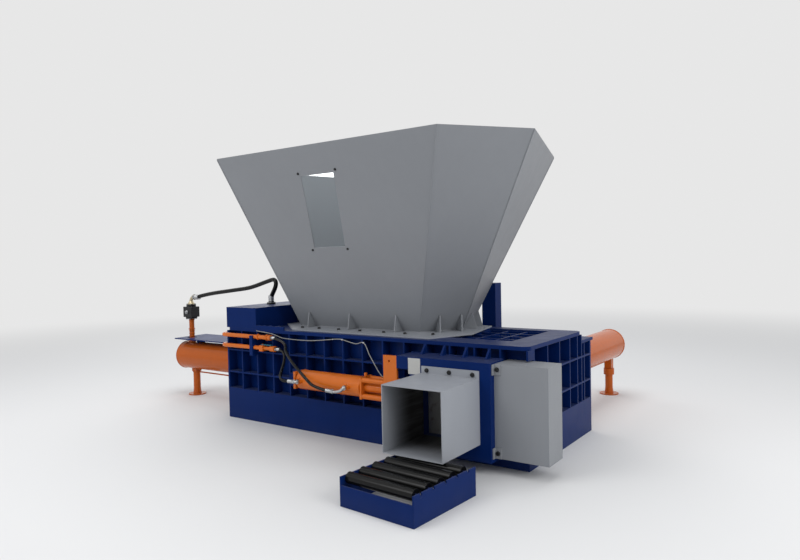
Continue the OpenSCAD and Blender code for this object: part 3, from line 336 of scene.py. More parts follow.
def chute_with_painted_shade(name):
    """Grey enamel lightened as painted light, its inner faces darkened by painted shade that deepens in
    from the front mouth, with slight streaks.
    """
    material, tree, shader = new_material(name)
    low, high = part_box("chute")
    place = object_place(tree)
    x, y, z = put(tree, "ShaderNodeSeparateXYZ", None, Vector=place).outputs
    # A face counts as inside from skin to depth under the tube's outer one
    skin, depth = 0.002, 0.005
    limits = (
        (x, high[0] - skin, high[0] - depth), (z, low[2] + skin, low[2] + depth),
        (z, CHUTE_TOP_Z - skin, CHUTE_TOP_Z - depth), (y, low[1] + 0.02, low[1] + 0.36))
    inside = ramp(tree, x, low[0] + skin, low[0] + depth)
    for value, start, end in limits:
        inside = times(tree, inside, ramp(tree, value, start, end))
    streaked = stretched_place(tree, place, (22.0, 1.4, 22.0))
    shade_streaks = ramp(tree, noise_at(tree, streaked, 2.0, 4.0), 0.30, 0.62, 0.90, 1.0)
    # Mask of the painted shade: the inner faces, deepening in from the front mouth, with slight streaks
    mask = times(tree, inside, shade_streaks, clamp=True)
    # The chute in the lightened grey, as painted light
    film = group_in(tree, "film", Paint=(*LIT_GREY, 1), Drift=0.04, Gloss=0.42)
    edge = group_in(tree, "wear", Cover=0.2)
    painted = mix_colour(tree, edge["Mask"], film["Color"], (*PLAIN_PRIMER, 1))
    # Painted shade laid over the edge-worn grey inside the tube
    surface_colour = mix_colour(tree, mask, painted, (*INSIDE_SHADE, 1))
    finish_with(tree, shader, surface_colour, film["Roughness"], 0.15, peeled(tree, film, edge))
    shader["Specular IOR Level"].default_value = 0.22
    return material


def clear_sheet(name):
    """Clear window sheet with a slight haze."""
    material, tree, shader = new_material(name)
    place = object_place(tree)
    haze = ramp(tree, noise_at(tree, place, 8.0, 5.0), 0.35, 0.75, 0.0, 0.06)
    tree.links.new(haze, shader["Roughness"])
    shader["Base Color"].default_value = (0.90, 0.94, 0.94, 1)
    shader["Transmission Weight"].default_value = 1.0
    shader["IOR"].default_value = 1.15
    return material


# Enamels: paint, roughness, drift in tone, dust, wear of the corners, tone under the paint, shine
ENAMELS = {
    "body_blue": (BLUE, 0.32, 0.12, 0.30, 0.40, (0.07, 0.08, 0.12), 0.07),
    "hopper_grey": (GREY, 0.42, 0.04, 0.20, 0.20, PLAIN_PRIMER, 0.22),
    # The flange in the lightened grey, painted light against the shade under the hopper
    "flange_lit_grey": (LIT_GREY, 0.36, 0.04, 0.15, 0.20, PLAIN_PRIMER, 0.30),
    "cylinder_orange": (ORANGE, 0.19, 0.08, 0.08, 0.30, DARK_PRIMER, 0.22),
    # Lit copy of the cylinder orange, painted light on the gate cylinder
    "lit_orange": (LIT_ORANGE, 0.17, 0.06, 0.06, 0.30, DARK_PRIMER, 0.30),
    "lever_teal": (TEAL, 0.30, 0.06, 0.10, 0.30, DARK_PRIMER, 0.30),
    "black_metal": (BLACK, 0.34, 0.15, 0.20, 0.40, (0.16, 0.16, 0.16), 0.35),
    "roller_black": (DEEP_BLACK, 0.17, 0.20, 0.03, 0.30, (0.06, 0.06, 0.06), 0.20),
    "plate_white": (PLATE_WHITE, 0.32, 0.03, 0.15, 0.10, (0.30, 0.30, 0.30), 0.3),
}
FINISH = {name: enamel(name, *look) for name, look in ENAMELS.items()}
FINISH.update({
    "rod_chrome": metal("rod_chrome", CHROME, 0.08, 0.03, 0.00005, 0.05),
    "bare_steel": metal("bare_steel", BARE_STEEL, 0.34, 0.35),
    "zinc": metal("zinc", ZINC, 0.22, 0.12),
    "yellow_zinc": metal("yellow_zinc", YELLOW_ZINC, 0.24, 0.12),
    "hose_rubber": hose_cover("hose_rubber"),
    "lead_grey": hose_cover("lead_grey", LEAD_GREY, 0.30),
    "clear_pane": clear_sheet("clear_pane"),
    "chute_grey": chute_with_painted_shade("chute_grey"),
})
# Carried-over solids with a finish of their own
OWN_FINISH = {
    # The hopper's flange takes the lightened grey of painted light
    "chute": "chute_grey", "hopper_flange": "flange_lit_grey", "roller_shafts": "body_blue",
    "valve_lever": "lever_teal"}
# Gate cylinder, cage, lug plate and oil pipes take the lit copy of the orange, as painted light
LIT_ORANGE_NODES = ("gate_barrel", "gate_cage", "lug_plate", "oil_pipes")
OWN_FINISH.update({node: "lit_orange" for node in LIT_ORANGE_NODES})
OWN_FINISH.update({"roller_%d" % i: "roller_black" for i in range(1, 6)})


# Mesh helpers

def add_mesh(name, points, faces, material, body=MACHINE, smooth=True):
    """Builds a mesh object in the frame's own coordinates and lets it ride on a body."""
    mesh = bpy.data.meshes.new(name)
    mesh.from_pydata([tuple(p) for p in points], [], faces)
    mesh.validate()
    mesh.materials.append(FINISH[material])
    for face in mesh.polygons:
        face.use_smooth = smooth
    if smooth:
        mesh.set_sharp_from_angle(angle=MESH_SMOOTH)
    piece = bpy.data.objects.new(name, mesh)
    bpy.context.collection.objects.link(piece)
    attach(piece, body)
    return piece


def square_to(direction):
    """Two unit vectors square to a direction."""
    d = direction.normalized()
    side = d.cross(Vector((0, 1, 0)) if abs(d.y) < 0.9 else Vector((1, 0, 0))).normalized()
    return side, d.cross(side)


def lathe(centre, axis, profile, sides=40):
    """Points and faces of a turned shape: profile holds (distance along the axis, radius)."""
    u, v = square_to(axis)
    d = axis.normalized()
    points, faces = [], []
    for along, radius in profile:
        for k in range(sides):
            a = 2 * math.pi * k / sides
            points.append(centre + d * along + (u * math.cos(a) + v * math.sin(a)) * radius)
    rows = len(profile)
    for i in range(rows - 1):
        for k in range(sides):
            n = (k + 1) % sides
            faces.append((i * sides + k, i * sides + n, (i + 1) * sides + n, (i + 1) * sides + k))
    faces.append(tuple(reversed(range(sides))))
    faces.append(tuple((rows - 1) * sides + k for k in range(sides)))
    return points, faces


def turned(name, centre, axis, profile, material, sides=40):
    """Turned shape as a piece of its own."""
    points, faces = lathe(Vector(centre), Vector(axis), profile, sides)
    return add_mesh(name, points, faces, material)


def gather(name, shapes, material, smooth=True):
    """Joins several (points, faces) shapes into one piece."""
    points, faces = [], []
    for more_points, more_faces in shapes:
        shift = len(points)
        points += more_points
        faces += [tuple(i + shift for i in face) for face in more_faces]
    return add_mesh(name, points, faces, material, smooth=smooth)


def smooth_path(points, steps):
    """Curve through the points, the same one as the solids use."""
    path = []
    last = len(points) - 1
    for i in range(last):
        a, b, c, d = (points[max(i - 1, 0)], points[i], points[i + 1], points[min(i + 2, last)])
        for k in range(steps):
            t = k / steps
            square = (2 * a - 5 * b + 4 * c - d) * t * t
            cube = (3 * b - a - 3 * c + d) * t ** 3
            path.append(0.5 * (2 * b + (c - a) * t + square + cube))
    path.append(points[-1])
    return path


def tube_shape(path, radii, sides):
    """Points and faces of a tube along a path, with one radius for each point."""
    points, faces = [], []
    last = len(path) - 1
    for i, at in enumerate(path):
        along = (path[min(i + 1, last)] - path[max(i - 1, 0)]).normalized()
        u = along.cross(Vector((0, 1, 0)))
        u = u.normalized() if u.length > 0.05 else Vector((1, 0, 0))
        v = along.cross(u)
        for k in range(sides):
            a = 2 * math.pi * k / sides
            points.append(at + (u * math.cos(a) + v * math.sin(a)) * radii[i])
    for i in range(last):
        for k in range(sides):
            n = (k + 1) % sides
            faces.append((i * sides + k, (i + 1) * sides + k, (i + 1) * sides + n, i * sides + n))
    faces.append(tuple(range(sides)))
    faces.append(tuple(reversed([last * sides + k for k in range(sides)])))
    return points, faces


def weld_shape(start, end, size, ripple):
    """Rippled weld bead between two points."""
    start, end = Vector(start), Vector(end)
    count = max(int((end - start).length / ripple * 2), 4)
    path = [start.lerp(end, i / count) for i in range(count + 1)]
    radii = [size * (1.0 if i % 2 else 0.84) for i in range(count + 1)]
    return tube_shape(path, radii, 6)


def hex_shape(centre, axis, across, height):
    """Hexagon nut or bolt head with a chamfered top."""
    r = across / math.sqrt(3)
    return lathe(Vector(centre), Vector(axis), [(0, r), (height * 0.82, r), (height, r * 0.86)], 6)


# Angles of four screws round a flange
SCREW_ANGLES = (0.8, 2.4, 3.9, 5.5)


def level_heads(centre, radius, angles, across, height, way=1):
    """Hexagon heads on a level circle, facing up, or down with way -1."""
    x, y, z = centre
    places = [(x + radius * math.cos(a), y + radius * math.sin(a), z) for a in angles]
    return [hex_shape(place, (0, 0, way), across, height) for place in places]


# Carried-over solids: finish, smooth round faces and softened edges
for entry in frame["record"]["subparts"]:
    solid = frame["nodes"][entry["node"]]
    solid.data.materials.clear()
    solid.data.materials.append(FINISH[OWN_FINISH.get(entry["node"], entry["material_slot"])])
    for face in solid.data.polygons:
        face.use_smooth = True
    solid.data.set_sharp_from_angle(angle=SOLID_SMOOTH)


def points_of(*numbers):
    """Vectors in metres from places written in millimetres, as part.scad writes them."""
    return [Vector(n) / 1000.0 for n in numbers]


# Hoses and the sensor lead, along the same routes as their solids

FRONT_HOSE = points_of(
    (-958, -580, 830), (-948, -580, 830), (-938, -580, 830), (-812, -606, 815), (-708, -650, 787),
    (-657, -690, 732), (-526, -750, 660), (-393, -790, 590), (-315, -800, 538), (-247, -800, 493),
    (-144, -796, 467), (-60, -792, 458))
REAR_HOSE = points_of(
    (-900, -580, 727), (-890, -580, 727), (-880, -580, 727), (-800, -596, 716), (-735, -635, 680),
    (-690, -690, 625), (-660, -750, 570), (-640, -786, 525), (-600, -792, 497), (-550, -792, 496),
    (-500, -792, 498))
MAIN_HOSE = points_of(
    (-2832, 0, 1143), (-2815, 0, 1143), (-2798, 0, 1143), (-2665, 0, 1168), (-2458, -8, 1197),
    (-2152, -20, 1230), (-1841, -35, 1266), (-1589, -50, 1325), (-1470, -62, 1352), (-1420, -72, 1350),
    (-1396, -78, 1318), (-1408, -80, 1270), (-1450, -80, 1205), (-1470, -80, 1170), (-1470, -80, 1155),
    (-1470, -80, 1140))
SENSOR_LEAD = points_of(
    (-1180, -560, 884), (-992, -560, 868), (-900, -560, 850), (-795, -562, 831), (-481, -562, 829),
    (-185, -558, 858), (-105, -556, 857), (38, -558, 832), (131, -558, 844), (198, -570, 750),
    (300, -600, 640), (370, -640, 604), (402, -655, 596))
LEAD_CLIPS = (SENSOR_LEAD[6], SENSOR_LEAD[8])
HOSE_R = 0.013
MAIN_HOSE_R = 0.0225
LEAD_R = 0.004


def hose(name, route, radius, *nodes, cover="hose_rubber"):
    """Hose or lead along a route, standing in for the nodes given."""
    path = smooth_path(route, 10)
    piece = add_mesh(name, *tube_shape(path, [radius] * len(path), 20), cover)
    if nodes:
        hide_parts(*nodes)
    return piece


def crimp(name, at, toward, radius, length):
    """Crimped ferrule with pressed rings and a hexagon behind it, its mouth over the hose."""
    r = radius * 1.30
    rings = [(0, radius * 1.02), (0, r)]
    for i in range(5):
        at_ring = 0.004 + i * length / 6
        rings += [(at_ring, r), (at_ring + 0.003, r * 0.93), (at_ring + 0.006, r)]
    rings += [(length, r), (length + 0.004, r * 0.78), (length + 0.010, r * 0.78)]
    turned(name, at, toward, rings, "zinc", sides=28)
    nut = Vector(at) + Vector(toward).normalized() * (length + 0.010)
    gather(name + "_nut", [hex_shape(nut, toward, r * 2.05, 0.016)], "zinc", smooth=False)


hose("front_hose", FRONT_HOSE, HOSE_R, "gate_hoses")
hose("rear_hose", REAR_HOSE, HOSE_R)
hose("main_hose_cover", MAIN_HOSE, MAIN_HOSE_R, "main_hose")
hose("sensor_lead_cover", SENSOR_LEAD, LEAD_R, "sensor_lead", cover="lead_grey")
# Ferrules at the ends: place, way, radius of the hose and length
crimp("front_hose_crimp", FRONT_HOSE[-1] + Vector((-0.035, 0, 0.003)), (1, 0.02, -0.05), HOSE_R, 0.05)
crimp("rear_hose_crimp", REAR_HOSE[-1] + Vector((-0.035, 0, 0)), (1, 0, 0), HOSE_R, 0.05)
crimp("front_hose_start", FRONT_HOSE[0] + Vector((0.060, -0.002, 0)), (-1, 0.03, 0), HOSE_R, 0.04)
crimp("rear_hose_start", REAR_HOSE[0] + Vector((0.060, -0.002, 0)), (-1, 0.03, 0), HOSE_R, 0.04)
crimp("main_hose_start", MAIN_HOSE[0] + Vector((0.080, 0, 0.002)), (-1, 0, -0.02), MAIN_HOSE_R, 0.07)
crimp("main_hose_end", MAIN_HOSE[-1] + Vector((0.0, 0, 0.050)), (0, 0, -1), MAIN_HOSE_R, 0.06)


def elbow_path(points, radius):
    """Pipe through square corners, each rounded to a radius."""
    path = [points[0]]
    steps = 8
    for before, corner, after in zip(points, points[1:], points[2:]):
        back = (before - corner).normalized() * radius
        on = (after - corner).normalized() * radius
        for k in range(steps + 1):
            t = k / steps
            path.append(corner + back * (1 - t) ** 2 + on * t ** 2)
    return path + [points[-1]]


# Swept elbows from the gate hoses into the gate cylinder's ports
PORT_X = (0.092, -0.440)
PORT_Z = 0.498
PORT_FACE_Y = -0.770
ELBOW_R = 0.0125
for label, end, port_x in (("front", FRONT_HOSE[-1], PORT_X[0]), ("rear", REAR_HOSE[-1], PORT_X[1])):
    mouth = Vector((port_x, PORT_FACE_Y + 0.002, PORT_Z))
    neck = mouth + Vector((0, -0.020, 0))
    rise = PORT_Z - end.z
    sweep = [
        end, end.lerp(neck, 0.35) - Vector((0, 0, 0.40 * rise)),
        neck + Vector((-0.040, -0.005, -0.72 * rise)),
        neck + Vector((-0.010, -0.002, -0.20 * rise)), neck, mouth]
    path = smooth_path(sweep, 8)
    add_mesh(label + "_hose_elbow", *tube_shape(path, [ELBOW_R] * len(path), 18), "zinc")
    nut = hex_shape(neck, (0, 1, 0), 0.036, 0.018)
    gather(label + "_hose_union", [nut], "zinc", smooth=False)

# Flange under the main hose, clips of the lead and the sensor
main_hose_foot = Vector((MAIN_HOSE[-1].x, MAIN_HOSE[-1].y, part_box("end_block")[1][2]))
FOOT_FLANGE_T = 0.014
FOOT_FLANGE = [(0, 0.046), (FOOT_FLANGE_T, 0.046), (0.016, 0.030), (0.050, 0.028)]
turned("main_hose_flange", main_hose_foot, (0, 0, 1), FOOT_FLANGE, "black_metal")
foot_flange_top = main_hose_foot + Vector((0, 0, FOOT_FLANGE_T))
gather("main_hose_flange_bolts", level_heads(foot_flange_top, 0.036, SCREW_ANGLES, 0.012, 0.008),
       "zinc", smooth=False)
gather("lead_clips", [
    tube_shape([c + Vector((-0.007, 0, 0)), c + Vector((0.007, 0, 0))], [0.0085, 0.0085], 12)
    for c in LEAD_CLIPS], "zinc")
SENSOR = [
    (0, 0.0085), (0.010, 0.0085), (0.011, 0.0125), (0.015, 0.0125), (0.016, 0.0085), (0.024, 0.0085),
    (0.025, 0.0125), (0.029, 0.0125), (0.030, 0.009), (0.060, 0.009), (0.062, 0.007), (0.070, 0.005)]
turned("sensor_body", (0.412, -0.583, 0.596), (0, -1, 0), SENSOR, "zinc", sides=24)


def block_shape(low, high, edge):
    """Box with bevelled edges and corners."""
    hull = bmesh.new()
    for x_end, y_end, z_end in ((x, y, z) for x in (0, 1) for y in (0, 1) for z in (0, 1)):
        ends = [(low, high)[x_end][0], (low, high)[y_end][1], (low, high)[z_end][2]]
        inward = [edge * (1 - 2 * x_end), edge * (1 - 2 * y_end), edge * (1 - 2 * z_end)]
        for flush in range(3):
            hull.verts.new([ends[i] + (0 if i == flush else inward[i]) for i in range(3)])
    bmesh.ops.convex_hull(hull, input=hull.verts)
    bmesh.ops.dissolve_limit(hull, angle_limit=0.01, verts=hull.verts, edges=hull.edges)
    hull.verts.index_update()
    points = [v.co.copy() for v in hull.verts]
    faces = [tuple(v.index for v in face.verts) for face in hull.faces]
    hull.free()
    return points, faces


# Valve on the main barrel: block between two flanges, swept elbow with its cone and nut, screws
VALVE_X, VALVE_ELBOW_Z = -2.906, 1.143
VALVE_FLANGE_TOP, POST_TOP = 1.058, 0.890
VALVE_BODY_Z = (POST_TOP + 0.018, POST_TOP + 0.140)
BLOCK_LOW = (VALVE_X - 0.075, -0.060, VALVE_BODY_Z[0])
BLOCK_HIGH = (VALVE_X + 0.075, 0.060, VALVE_BODY_Z[1])
LOWER_FLANGE = [(0, 0.063), (0.002, 0.065), (0.015, 0.065), (0.018, 0.061)]
UPPER_FLANGE = [(0, 0.054), (0.002, 0.055), (0.025, 0.055), (0.028, 0.052)]
valve_block = gather("valve_block", [
    block_shape(BLOCK_LOW, BLOCK_HIGH, 0.004),
    lathe(Vector((VALVE_X, 0, POST_TOP)), Vector((0, 0, 1)), LOWER_FLANGE),
    lathe(Vector((VALVE_X, 0, VALVE_BODY_Z[1])), Vector((0, 0, 1)), UPPER_FLANGE)], "black_metal")
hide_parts("main_valve")
VALVE_ELBOW_R = 0.0195
elbow = elbow_path([
    Vector((VALVE_X, 0, VALVE_FLANGE_TOP + 0.004)), Vector((VALVE_X, 0, VALVE_ELBOW_Z)),
    Vector((VALVE_X + 0.074, 0, VALVE_ELBOW_Z + 0.004))], 0.066)
add_mesh("valve_elbow", *tube_shape(elbow, [VALVE_ELBOW_R] * len(elbow), 28), "yellow_zinc")
CONE = [(0, 0.040), (0.008, 0.040), (0.012, 0.036), (0.034, 0.0225), (0.040, 0.0205)]
turned("valve_elbow_cone", (VALVE_X, 0, VALVE_FLANGE_TOP), (0, 0, 1), CONE, "yellow_zinc")
elbow_nut = hex_shape((VALVE_X + 0.050, 0, VALVE_ELBOW_Z + 0.004), (1, 0, 0), 0.050, 0.024)
gather("valve_elbow_nuts", [elbow_nut], "yellow_zinc", smooth=False)
upper_screws = level_heads((VALVE_X, 0, VALVE_FLANGE_TOP), 0.047, SCREW_ANGLES, 0.010, 0.008)
POST_SCREW_ANGLES = (0.0, 1.05, 2.09, 3.14, 4.19, 5.24)
post_screws = level_heads((VALVE_X, 0, POST_TOP), 0.054, POST_SCREW_ANGLES, 0.014, 0.009, -1)
gather("valve_flange_screws", upper_screws + post_screws, "zinc", smooth=False)
SLEEVE = [(0, 0.0290), (0.094, 0.0290), (0.098, 0.033), (0.106, 0.033), (0.110, 0.029)]
turned("oil_post_sleeve", (VALVE_X, 0, 0.771), (0, 0, 1), SLEEVE, "cylinder_orange")
PLUG = [(0, 0.022), (0.010, 0.022), (0.012, 0.018), (0.020, 0.017), (0.022, 0.010), (0.026, 0.009)]
turned("valve_plug", (VALVE_X, -0.060, 0.969), (0, -1, 0), PLUG, "zinc", sides=24)
# Four raised rings, 30 mm apart
RING = ((0.000, 0.0292), (0.003, 0.034), (0.009, 0.034), (0.012, 0.0292))
RINGS = [(0.030 * i + along, radius) for i in range(4) for along, radius in RING]
turned("oil_post_rings", (VALVE_X, 0, 0.648), (0, 0, 1), RINGS, "cylinder_orange")

# Union nuts of the oil pipes, round the ball valve and the tee
PIPE_Y, PIPE_UPPER_Z, PIPE_LOWER_Z = -0.580, 0.830, 0.727
# Place along X, height and the way that the nut faces
PIPE_NUTS = ((-1.125, PIPE_UPPER_Z, -1), (-1.025, PIPE_UPPER_Z, 1), (-0.905, PIPE_LOWER_Z, -1))
# The nuts take the lit copy of the orange, as painted light
gather("pipe_nuts", [
    hex_shape((x, PIPE_Y, z), (way, 0, 0), 0.050, 0.020) for x, z, way in PIPE_NUTS],
       "lit_orange", smooth=False)


def plate_shape(low, high, edge):
    """Flat plate facing the front, with bevelled outer edges."""
    (x0, y0, z0), (x1, y1, z1) = low, high
    outline = [(x0, z0), (x1, z0), (x1, z1), (x0, z1)]
    inner = [
        (x0 + edge, z0 + edge), (x1 - edge, z0 + edge), (x1 - edge, z1 - edge), (x0 + edge, z1 - edge)]
    points = [Vector((x, y1, z)) for x, z in outline]
    points += [Vector((x, y0 + edge, z)) for x, z in outline]
    points += [Vector((x, y0, z)) for x, z in inner]
    faces = [(3, 2, 1, 0), (8, 9, 10, 11)]
    for row in (0, 4):
        for k in range(4):
            n = (k + 1) % 4
            faces.append((row + k, row + n, row + 4 + n, row + 4 + k))
    return points, faces


# Blank plate on the gate frame, with its four rivets
PLATE_LOW = (0.721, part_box("gate_frame")[0][1] - 0.0018, 0.666)
PLATE_HIGH = (0.832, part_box("gate_frame")[0][1] + 0.0002, 0.790)
gather("blank_plate", [plate_shape(PLATE_LOW, PLATE_HIGH, 0.0008)], "plate_white", smooth=False)
RIVET = [(0, 0.0032), (0.0010, 0.0028), (0.0016, 0.0012)]
RIVET_Y = PLATE_LOW[1] + 0.0002
RIVET_INSET = 0.007
gather("plate_rivets", [
    lathe(Vector((x, RIVET_Y, z)), Vector((0, -1, 0)), RIVET, 12)
    for x in (PLATE_LOW[0] + RIVET_INSET, PLATE_HIGH[0] - RIVET_INSET)
    for z in (PLATE_LOW[2] + RIVET_INSET, PLATE_HIGH[2] - RIVET_INSET)], "zinc")


# Weld beads, with the radius of a common bead and the length of its ripples

BEAD, RIPPLE = 0.006, 0.012

# Corners of the hopper's foot and rim, as x and y, where its front, side and rear walls meet
FOOT_Z, RIM_Z = 0.912, 2.45
FOOT_CORNERS = (
    (-0.945, -0.180), (0.445, -0.180), (0.686, 0.139), (0.586, 0.475), (-1.086, 0.475), (-1.186, 0.139))
RIM_CORNERS = (
    (-1.0455, -1.080), (1.2175, -1.080), (1.6645, -0.489), (1.2415, 0.921), (-1.0695, 0.921),
    (-1.4925, -0.489))
feet = [Vector((*corner, FOOT_Z)) for corner in FOOT_CORNERS]
rims = [Vector((*corner, RIM_Z)) for corner in RIM_CORNERS]
gather("hopper_seams", [
    weld_shape(a + (b - a) * 0.002, b + (a - b) * 0.006, 0.0055, 0.016) for a, b in zip(feet, rims)],
       "hopper_grey")
lift = Vector((0, 0, 0.001))
gather("hopper_foot_weld", [
    weld_shape(a + lift, b + lift, 0.007, RIPPLE) for a, b in zip(feet, feet[1:] + feet[:1])],
       "hopper_grey")

# Beads at the raised end block, behind the bar along the front edge, and at the gate frame's gussets
TOP_PLATE_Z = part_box("top_plate")[1][2]
BODY_BACK_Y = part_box("top_plate")[1][1]
BAR_BACK_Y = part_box("top_plate")[0][1] + 0.016
BAR_END_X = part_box("end_block")[1][0]
BLOCK_FOOT = (
    (BAR_END_X, BAR_BACK_Y), (-1.195, BAR_BACK_Y), (-1.195, 0.010), (-1.245, 0.076),
    (-1.245, BODY_BACK_Y))
gather("block_foot_weld", [
    weld_shape((*a, TOP_PLATE_Z), (*b, TOP_PLATE_Z), BEAD, RIPPLE)
    for a, b in zip(BLOCK_FOOT, BLOCK_FOOT[1:])], "body_blue")
BAR_TOP_Z = TOP_PLATE_Z + 0.034
TACKS_X = (-1.165, -1.085, -1.005, -0.900)
TACK_HALF, TACK_Y = 0.014, BAR_BACK_Y - 0.002
gather("edge_bar_tacks", [
    weld_shape((x - TACK_HALF, TACK_Y, BAR_TOP_Z), (x + TACK_HALF, TACK_Y, BAR_TOP_Z), 0.0055, RIPPLE)
    for x in TACKS_X], "body_blue")
GUSSET_FROM_LEFT = (0.130, 0.310, 0.504, 0.697)
GUSSET_T, GUSSET_REACH, GUSSET_HEIGHT = 0.016, 0.060, 0.072
frame_low, frame_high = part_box("gate_frame")
FRAME_TOP_Z = frame_high[2] - GUSSET_HEIGHT
BODY_FRONT_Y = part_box("top_plate")[0][1]
beads = []
for reach in GUSSET_FROM_LEFT:
    for x in (frame_low[0] + reach - GUSSET_T / 2, frame_low[0] + reach + GUSSET_T / 2):
        foot = (x, BODY_FRONT_Y, FRAME_TOP_Z)
        beads.append(weld_shape(foot, (x, BODY_FRONT_Y - GUSSET_REACH, FRAME_TOP_Z), BEAD, RIPPLE))
        beads.append(weld_shape(foot, (x, BODY_FRONT_Y, FRAME_TOP_Z + GUSSET_HEIGHT), BEAD, RIPPLE))
seam_left = (frame_low[0], BODY_FRONT_Y, FRAME_TOP_Z)
seam_right = (frame_high[0], BODY_FRONT_Y, FRAME_TOP_Z)
beads.append(weld_shape(seam_left, seam_right, BEAD, RIPPLE))
gather("gate_frame_weld", beads, "body_blue")


def ring_weld(name, centre, axis, radius, size, material, count=240):
    """Closed rippled bead round a shaft or barrel."""
    d = Vector(axis).normalized()
    u, v = square_to(d)
    points, faces = [], []
    for i in range(count):
        a = 2 * math.pi * i / count
        out_way = u * math.cos(a) + v * math.sin(a)
        r = size * (1.0 if i % 2 else 0.86)
        for k in range(6):
            b = math.pi / 3 * k
            points.append(Vector(centre) + out_way * (radius + r * math.cos(b)) + d * (r * math.sin(b)))
    for i in range(count):
        j = (i + 1) % count
        for k in range(6):
            n = (k + 1) % 6
            faces.append((i * 6 + k, j * 6 + k, j * 6 + n, i * 6 + n))
    add_mesh(name, points, faces, material)


MAIN_END_X, MAIN_Z, MAIN_R = -3.000, 0.460, 0.158
SIDE_X, SIDE_Z, SIDE_R, SIDE_END_Y = 1.278, 0.550, 0.160, 2.380
# Depth of a ring bead's middle under the barrel's surface
SUNK = 0.001
ring_weld("main_end_weld", (MAIN_END_X, 0, MAIN_Z), (1, 0, 0), MAIN_R - SUNK, BEAD, "cylinder_orange")
ring_weld("side_end_weld", (SIDE_X, SIDE_END_Y, SIDE_Z), (0, 1, 0), SIDE_R - SUNK, BEAD,
          "cylinder_orange")


def ring_of_bolts(name, centre, axis, radius, count, across, height):
    """Hexagon heads round a flange, evenly spread."""
    u, v = square_to(Vector(axis))
    heads = []
    for i in range(count):
        a = 2 * math.pi * (i + 0.5) / count
        place = Vector(centre) + (u * math.cos(a) + v * math.sin(a)) * radius
        heads.append(hex_shape(place, axis, across, height))
    gather(name, heads, "zinc", smooth=False)


SIDE_FLANGE_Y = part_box("side_gland")[1][1] + 0.030
ring_weld("side_flange_weld", (SIDE_X, SIDE_FLANGE_Y + 0.001, SIDE_Z), (0, 1, 0), SIDE_R - SUNK,
          0.007, "cylinder_orange")
ring_of_bolts("side_flange_bolts", (SIDE_X, SIDE_FLANGE_Y, SIDE_Z), (0, 1, 0), 0.1755, 12, 0.022, 0.015)


# Studio

BACKDROP = (0.80, 0.80, 0.80, 1)
FLOOR_TONE = (0.74, 0.74, 0.74, 1)
SKY = (0.95, 0.97, 1.0, 1)
# Distances from the middle, in metres, between which the floor fades into the backdrop
FADE = (4.5, 15.0)
LAMP_TARGET = Vector((0, 0, 0.8))
# Name, place, size in metres and power in watts
LAMPS = (
    ("front_left", (-3.0, -7.0, 6.5), 5.0, 210.0), ("right", (8.5, -2.0, 5.0), 4.5, 230.0),
    ("overhead", (0.0, 0.5, 8.5), 6.0, 340.0), ("rear_left", (-7.0, 5.5, 5.5), 5.0, 130.0))


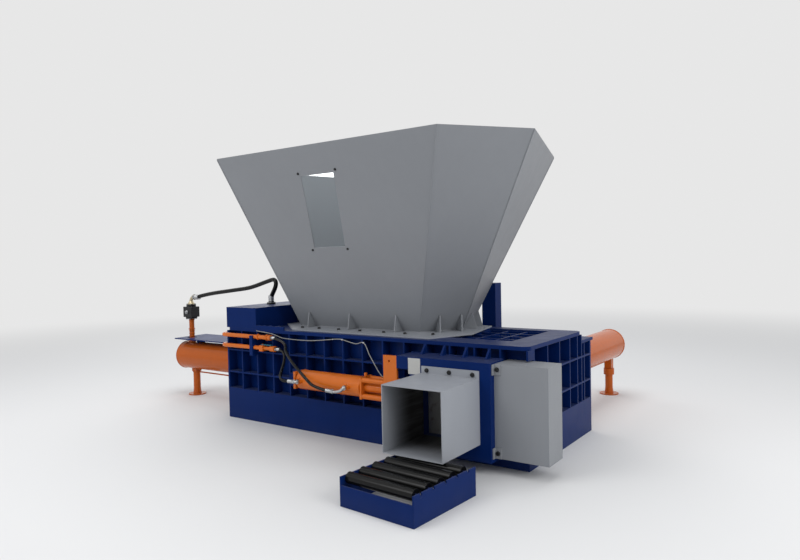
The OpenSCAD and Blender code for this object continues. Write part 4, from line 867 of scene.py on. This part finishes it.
def studio():
    """Pale floor that fades into the backdrop, soft surroundings and four wide lamps."""
    mesh = bpy.data.meshes.new("studio_floor")
    reach = 60.0
    corners = [(-reach, -reach, 0), (reach, -reach, 0), (reach, reach, 0), (-reach, reach, 0)]
    mesh.from_pydata(corners, [], [(0, 1, 2, 3)])
    floor = bpy.data.objects.new("studio_floor", mesh)
    bpy.context.collection.objects.link(floor)
    material, tree, shader = new_material("studio_floor")
    shader["Base Color"].default_value = FLOOR_TONE
    shader["Roughness"].default_value = 0.9
    shader["Specular IOR Level"].default_value = 0.2
    place = object_place(tree)
    away = put(tree, "ShaderNodeVectorMath", {"operation": "LENGTH"}, i0=place).outputs["Value"]
    seen = put(tree, "ShaderNodeLightPath").outputs
    far = times(tree, ramp(tree, away, *FADE), seen["Is Camera Ray"])
    glow = put(tree, "ShaderNodeEmission", None, Color=BACKDROP, Strength=1.0).outputs[0]
    surface = tree.nodes["Principled BSDF"].outputs[0]
    faded = put(tree, "ShaderNodeMixShader", None, i0=far, i1=surface, i2=glow).outputs[0]
    tree.links.new(faded, tree.nodes["Material Output"].inputs[0])
    mesh.materials.append(material)
    world = bpy.data.worlds.new("studio_sky")
    bpy.context.scene.world = world
    world.use_nodes = True
    tree = world.node_tree
    tree.nodes.clear()
    seen = put(tree, "ShaderNodeLightPath").outputs
    mirrored = math_node(tree, "MAXIMUM", seen["Is Glossy Ray"], seen["Is Transmission Ray"])
    direct = math_node(tree, "MAXIMUM", seen["Is Camera Ray"], mirrored)
    sky = put(tree, "ShaderNodeBackground", None, Color=SKY, Strength=0.55)
    backdrop = put(tree, "ShaderNodeBackground", None, Color=BACKDROP, Strength=1.0)
    mixed = put(tree, "ShaderNodeMixShader", None, i0=direct, i1=sky.outputs[0], i2=backdrop.outputs[0])
    tree.links.new(mixed.outputs[0], put(tree, "ShaderNodeOutputWorld").inputs[0])
    for name, place, size, power in LAMPS:
        lamp = bpy.data.lights.new(name, "AREA")
        lamp.energy = power
        lamp.size = size
        holder = bpy.data.objects.new(name, lamp)
        holder.location = place
        holder.rotation_euler = (LAMP_TARGET - Vector(place)).to_track_quat("-Z", "Y").to_euler()
        bpy.context.collection.objects.link(holder)


def photograph_camera():
    """Camera at the photograph's place."""
    cp, sp = math.cos(CAMERA_PITCH), math.sin(CAMERA_PITCH)
    cy, sy = math.cos(CAMERA_YAW), math.sin(CAMERA_YAW)
    ahead = Vector((-sy * cp, cy * cp, sp))
    right = Vector((cy, sy, 0))
    up = right.cross(ahead)
    cr, sr = math.cos(CAMERA_ROLL), math.sin(CAMERA_ROLL)
    right, up = right * cr + up * sr, up * cr - right * sr
    camera = bpy.data.objects.new("camera", bpy.data.cameras.new("camera"))
    camera.data.sensor_width = SENSOR_MM
    camera.data.sensor_fit = "HORIZONTAL"
    camera.data.lens = FOCAL_PIXELS / FRAME_PIXELS * SENSOR_MM
    turn = Matrix((right, up, -ahead)).transposed().to_4x4()
    camera.matrix_world = Matrix.Translation(CAMERA_AT) @ turn
    bpy.context.collection.objects.link(camera)
    bpy.context.scene.camera = camera


studio()
photograph_camera()
bpy.context.scene.view_settings.view_transform = "Standard"
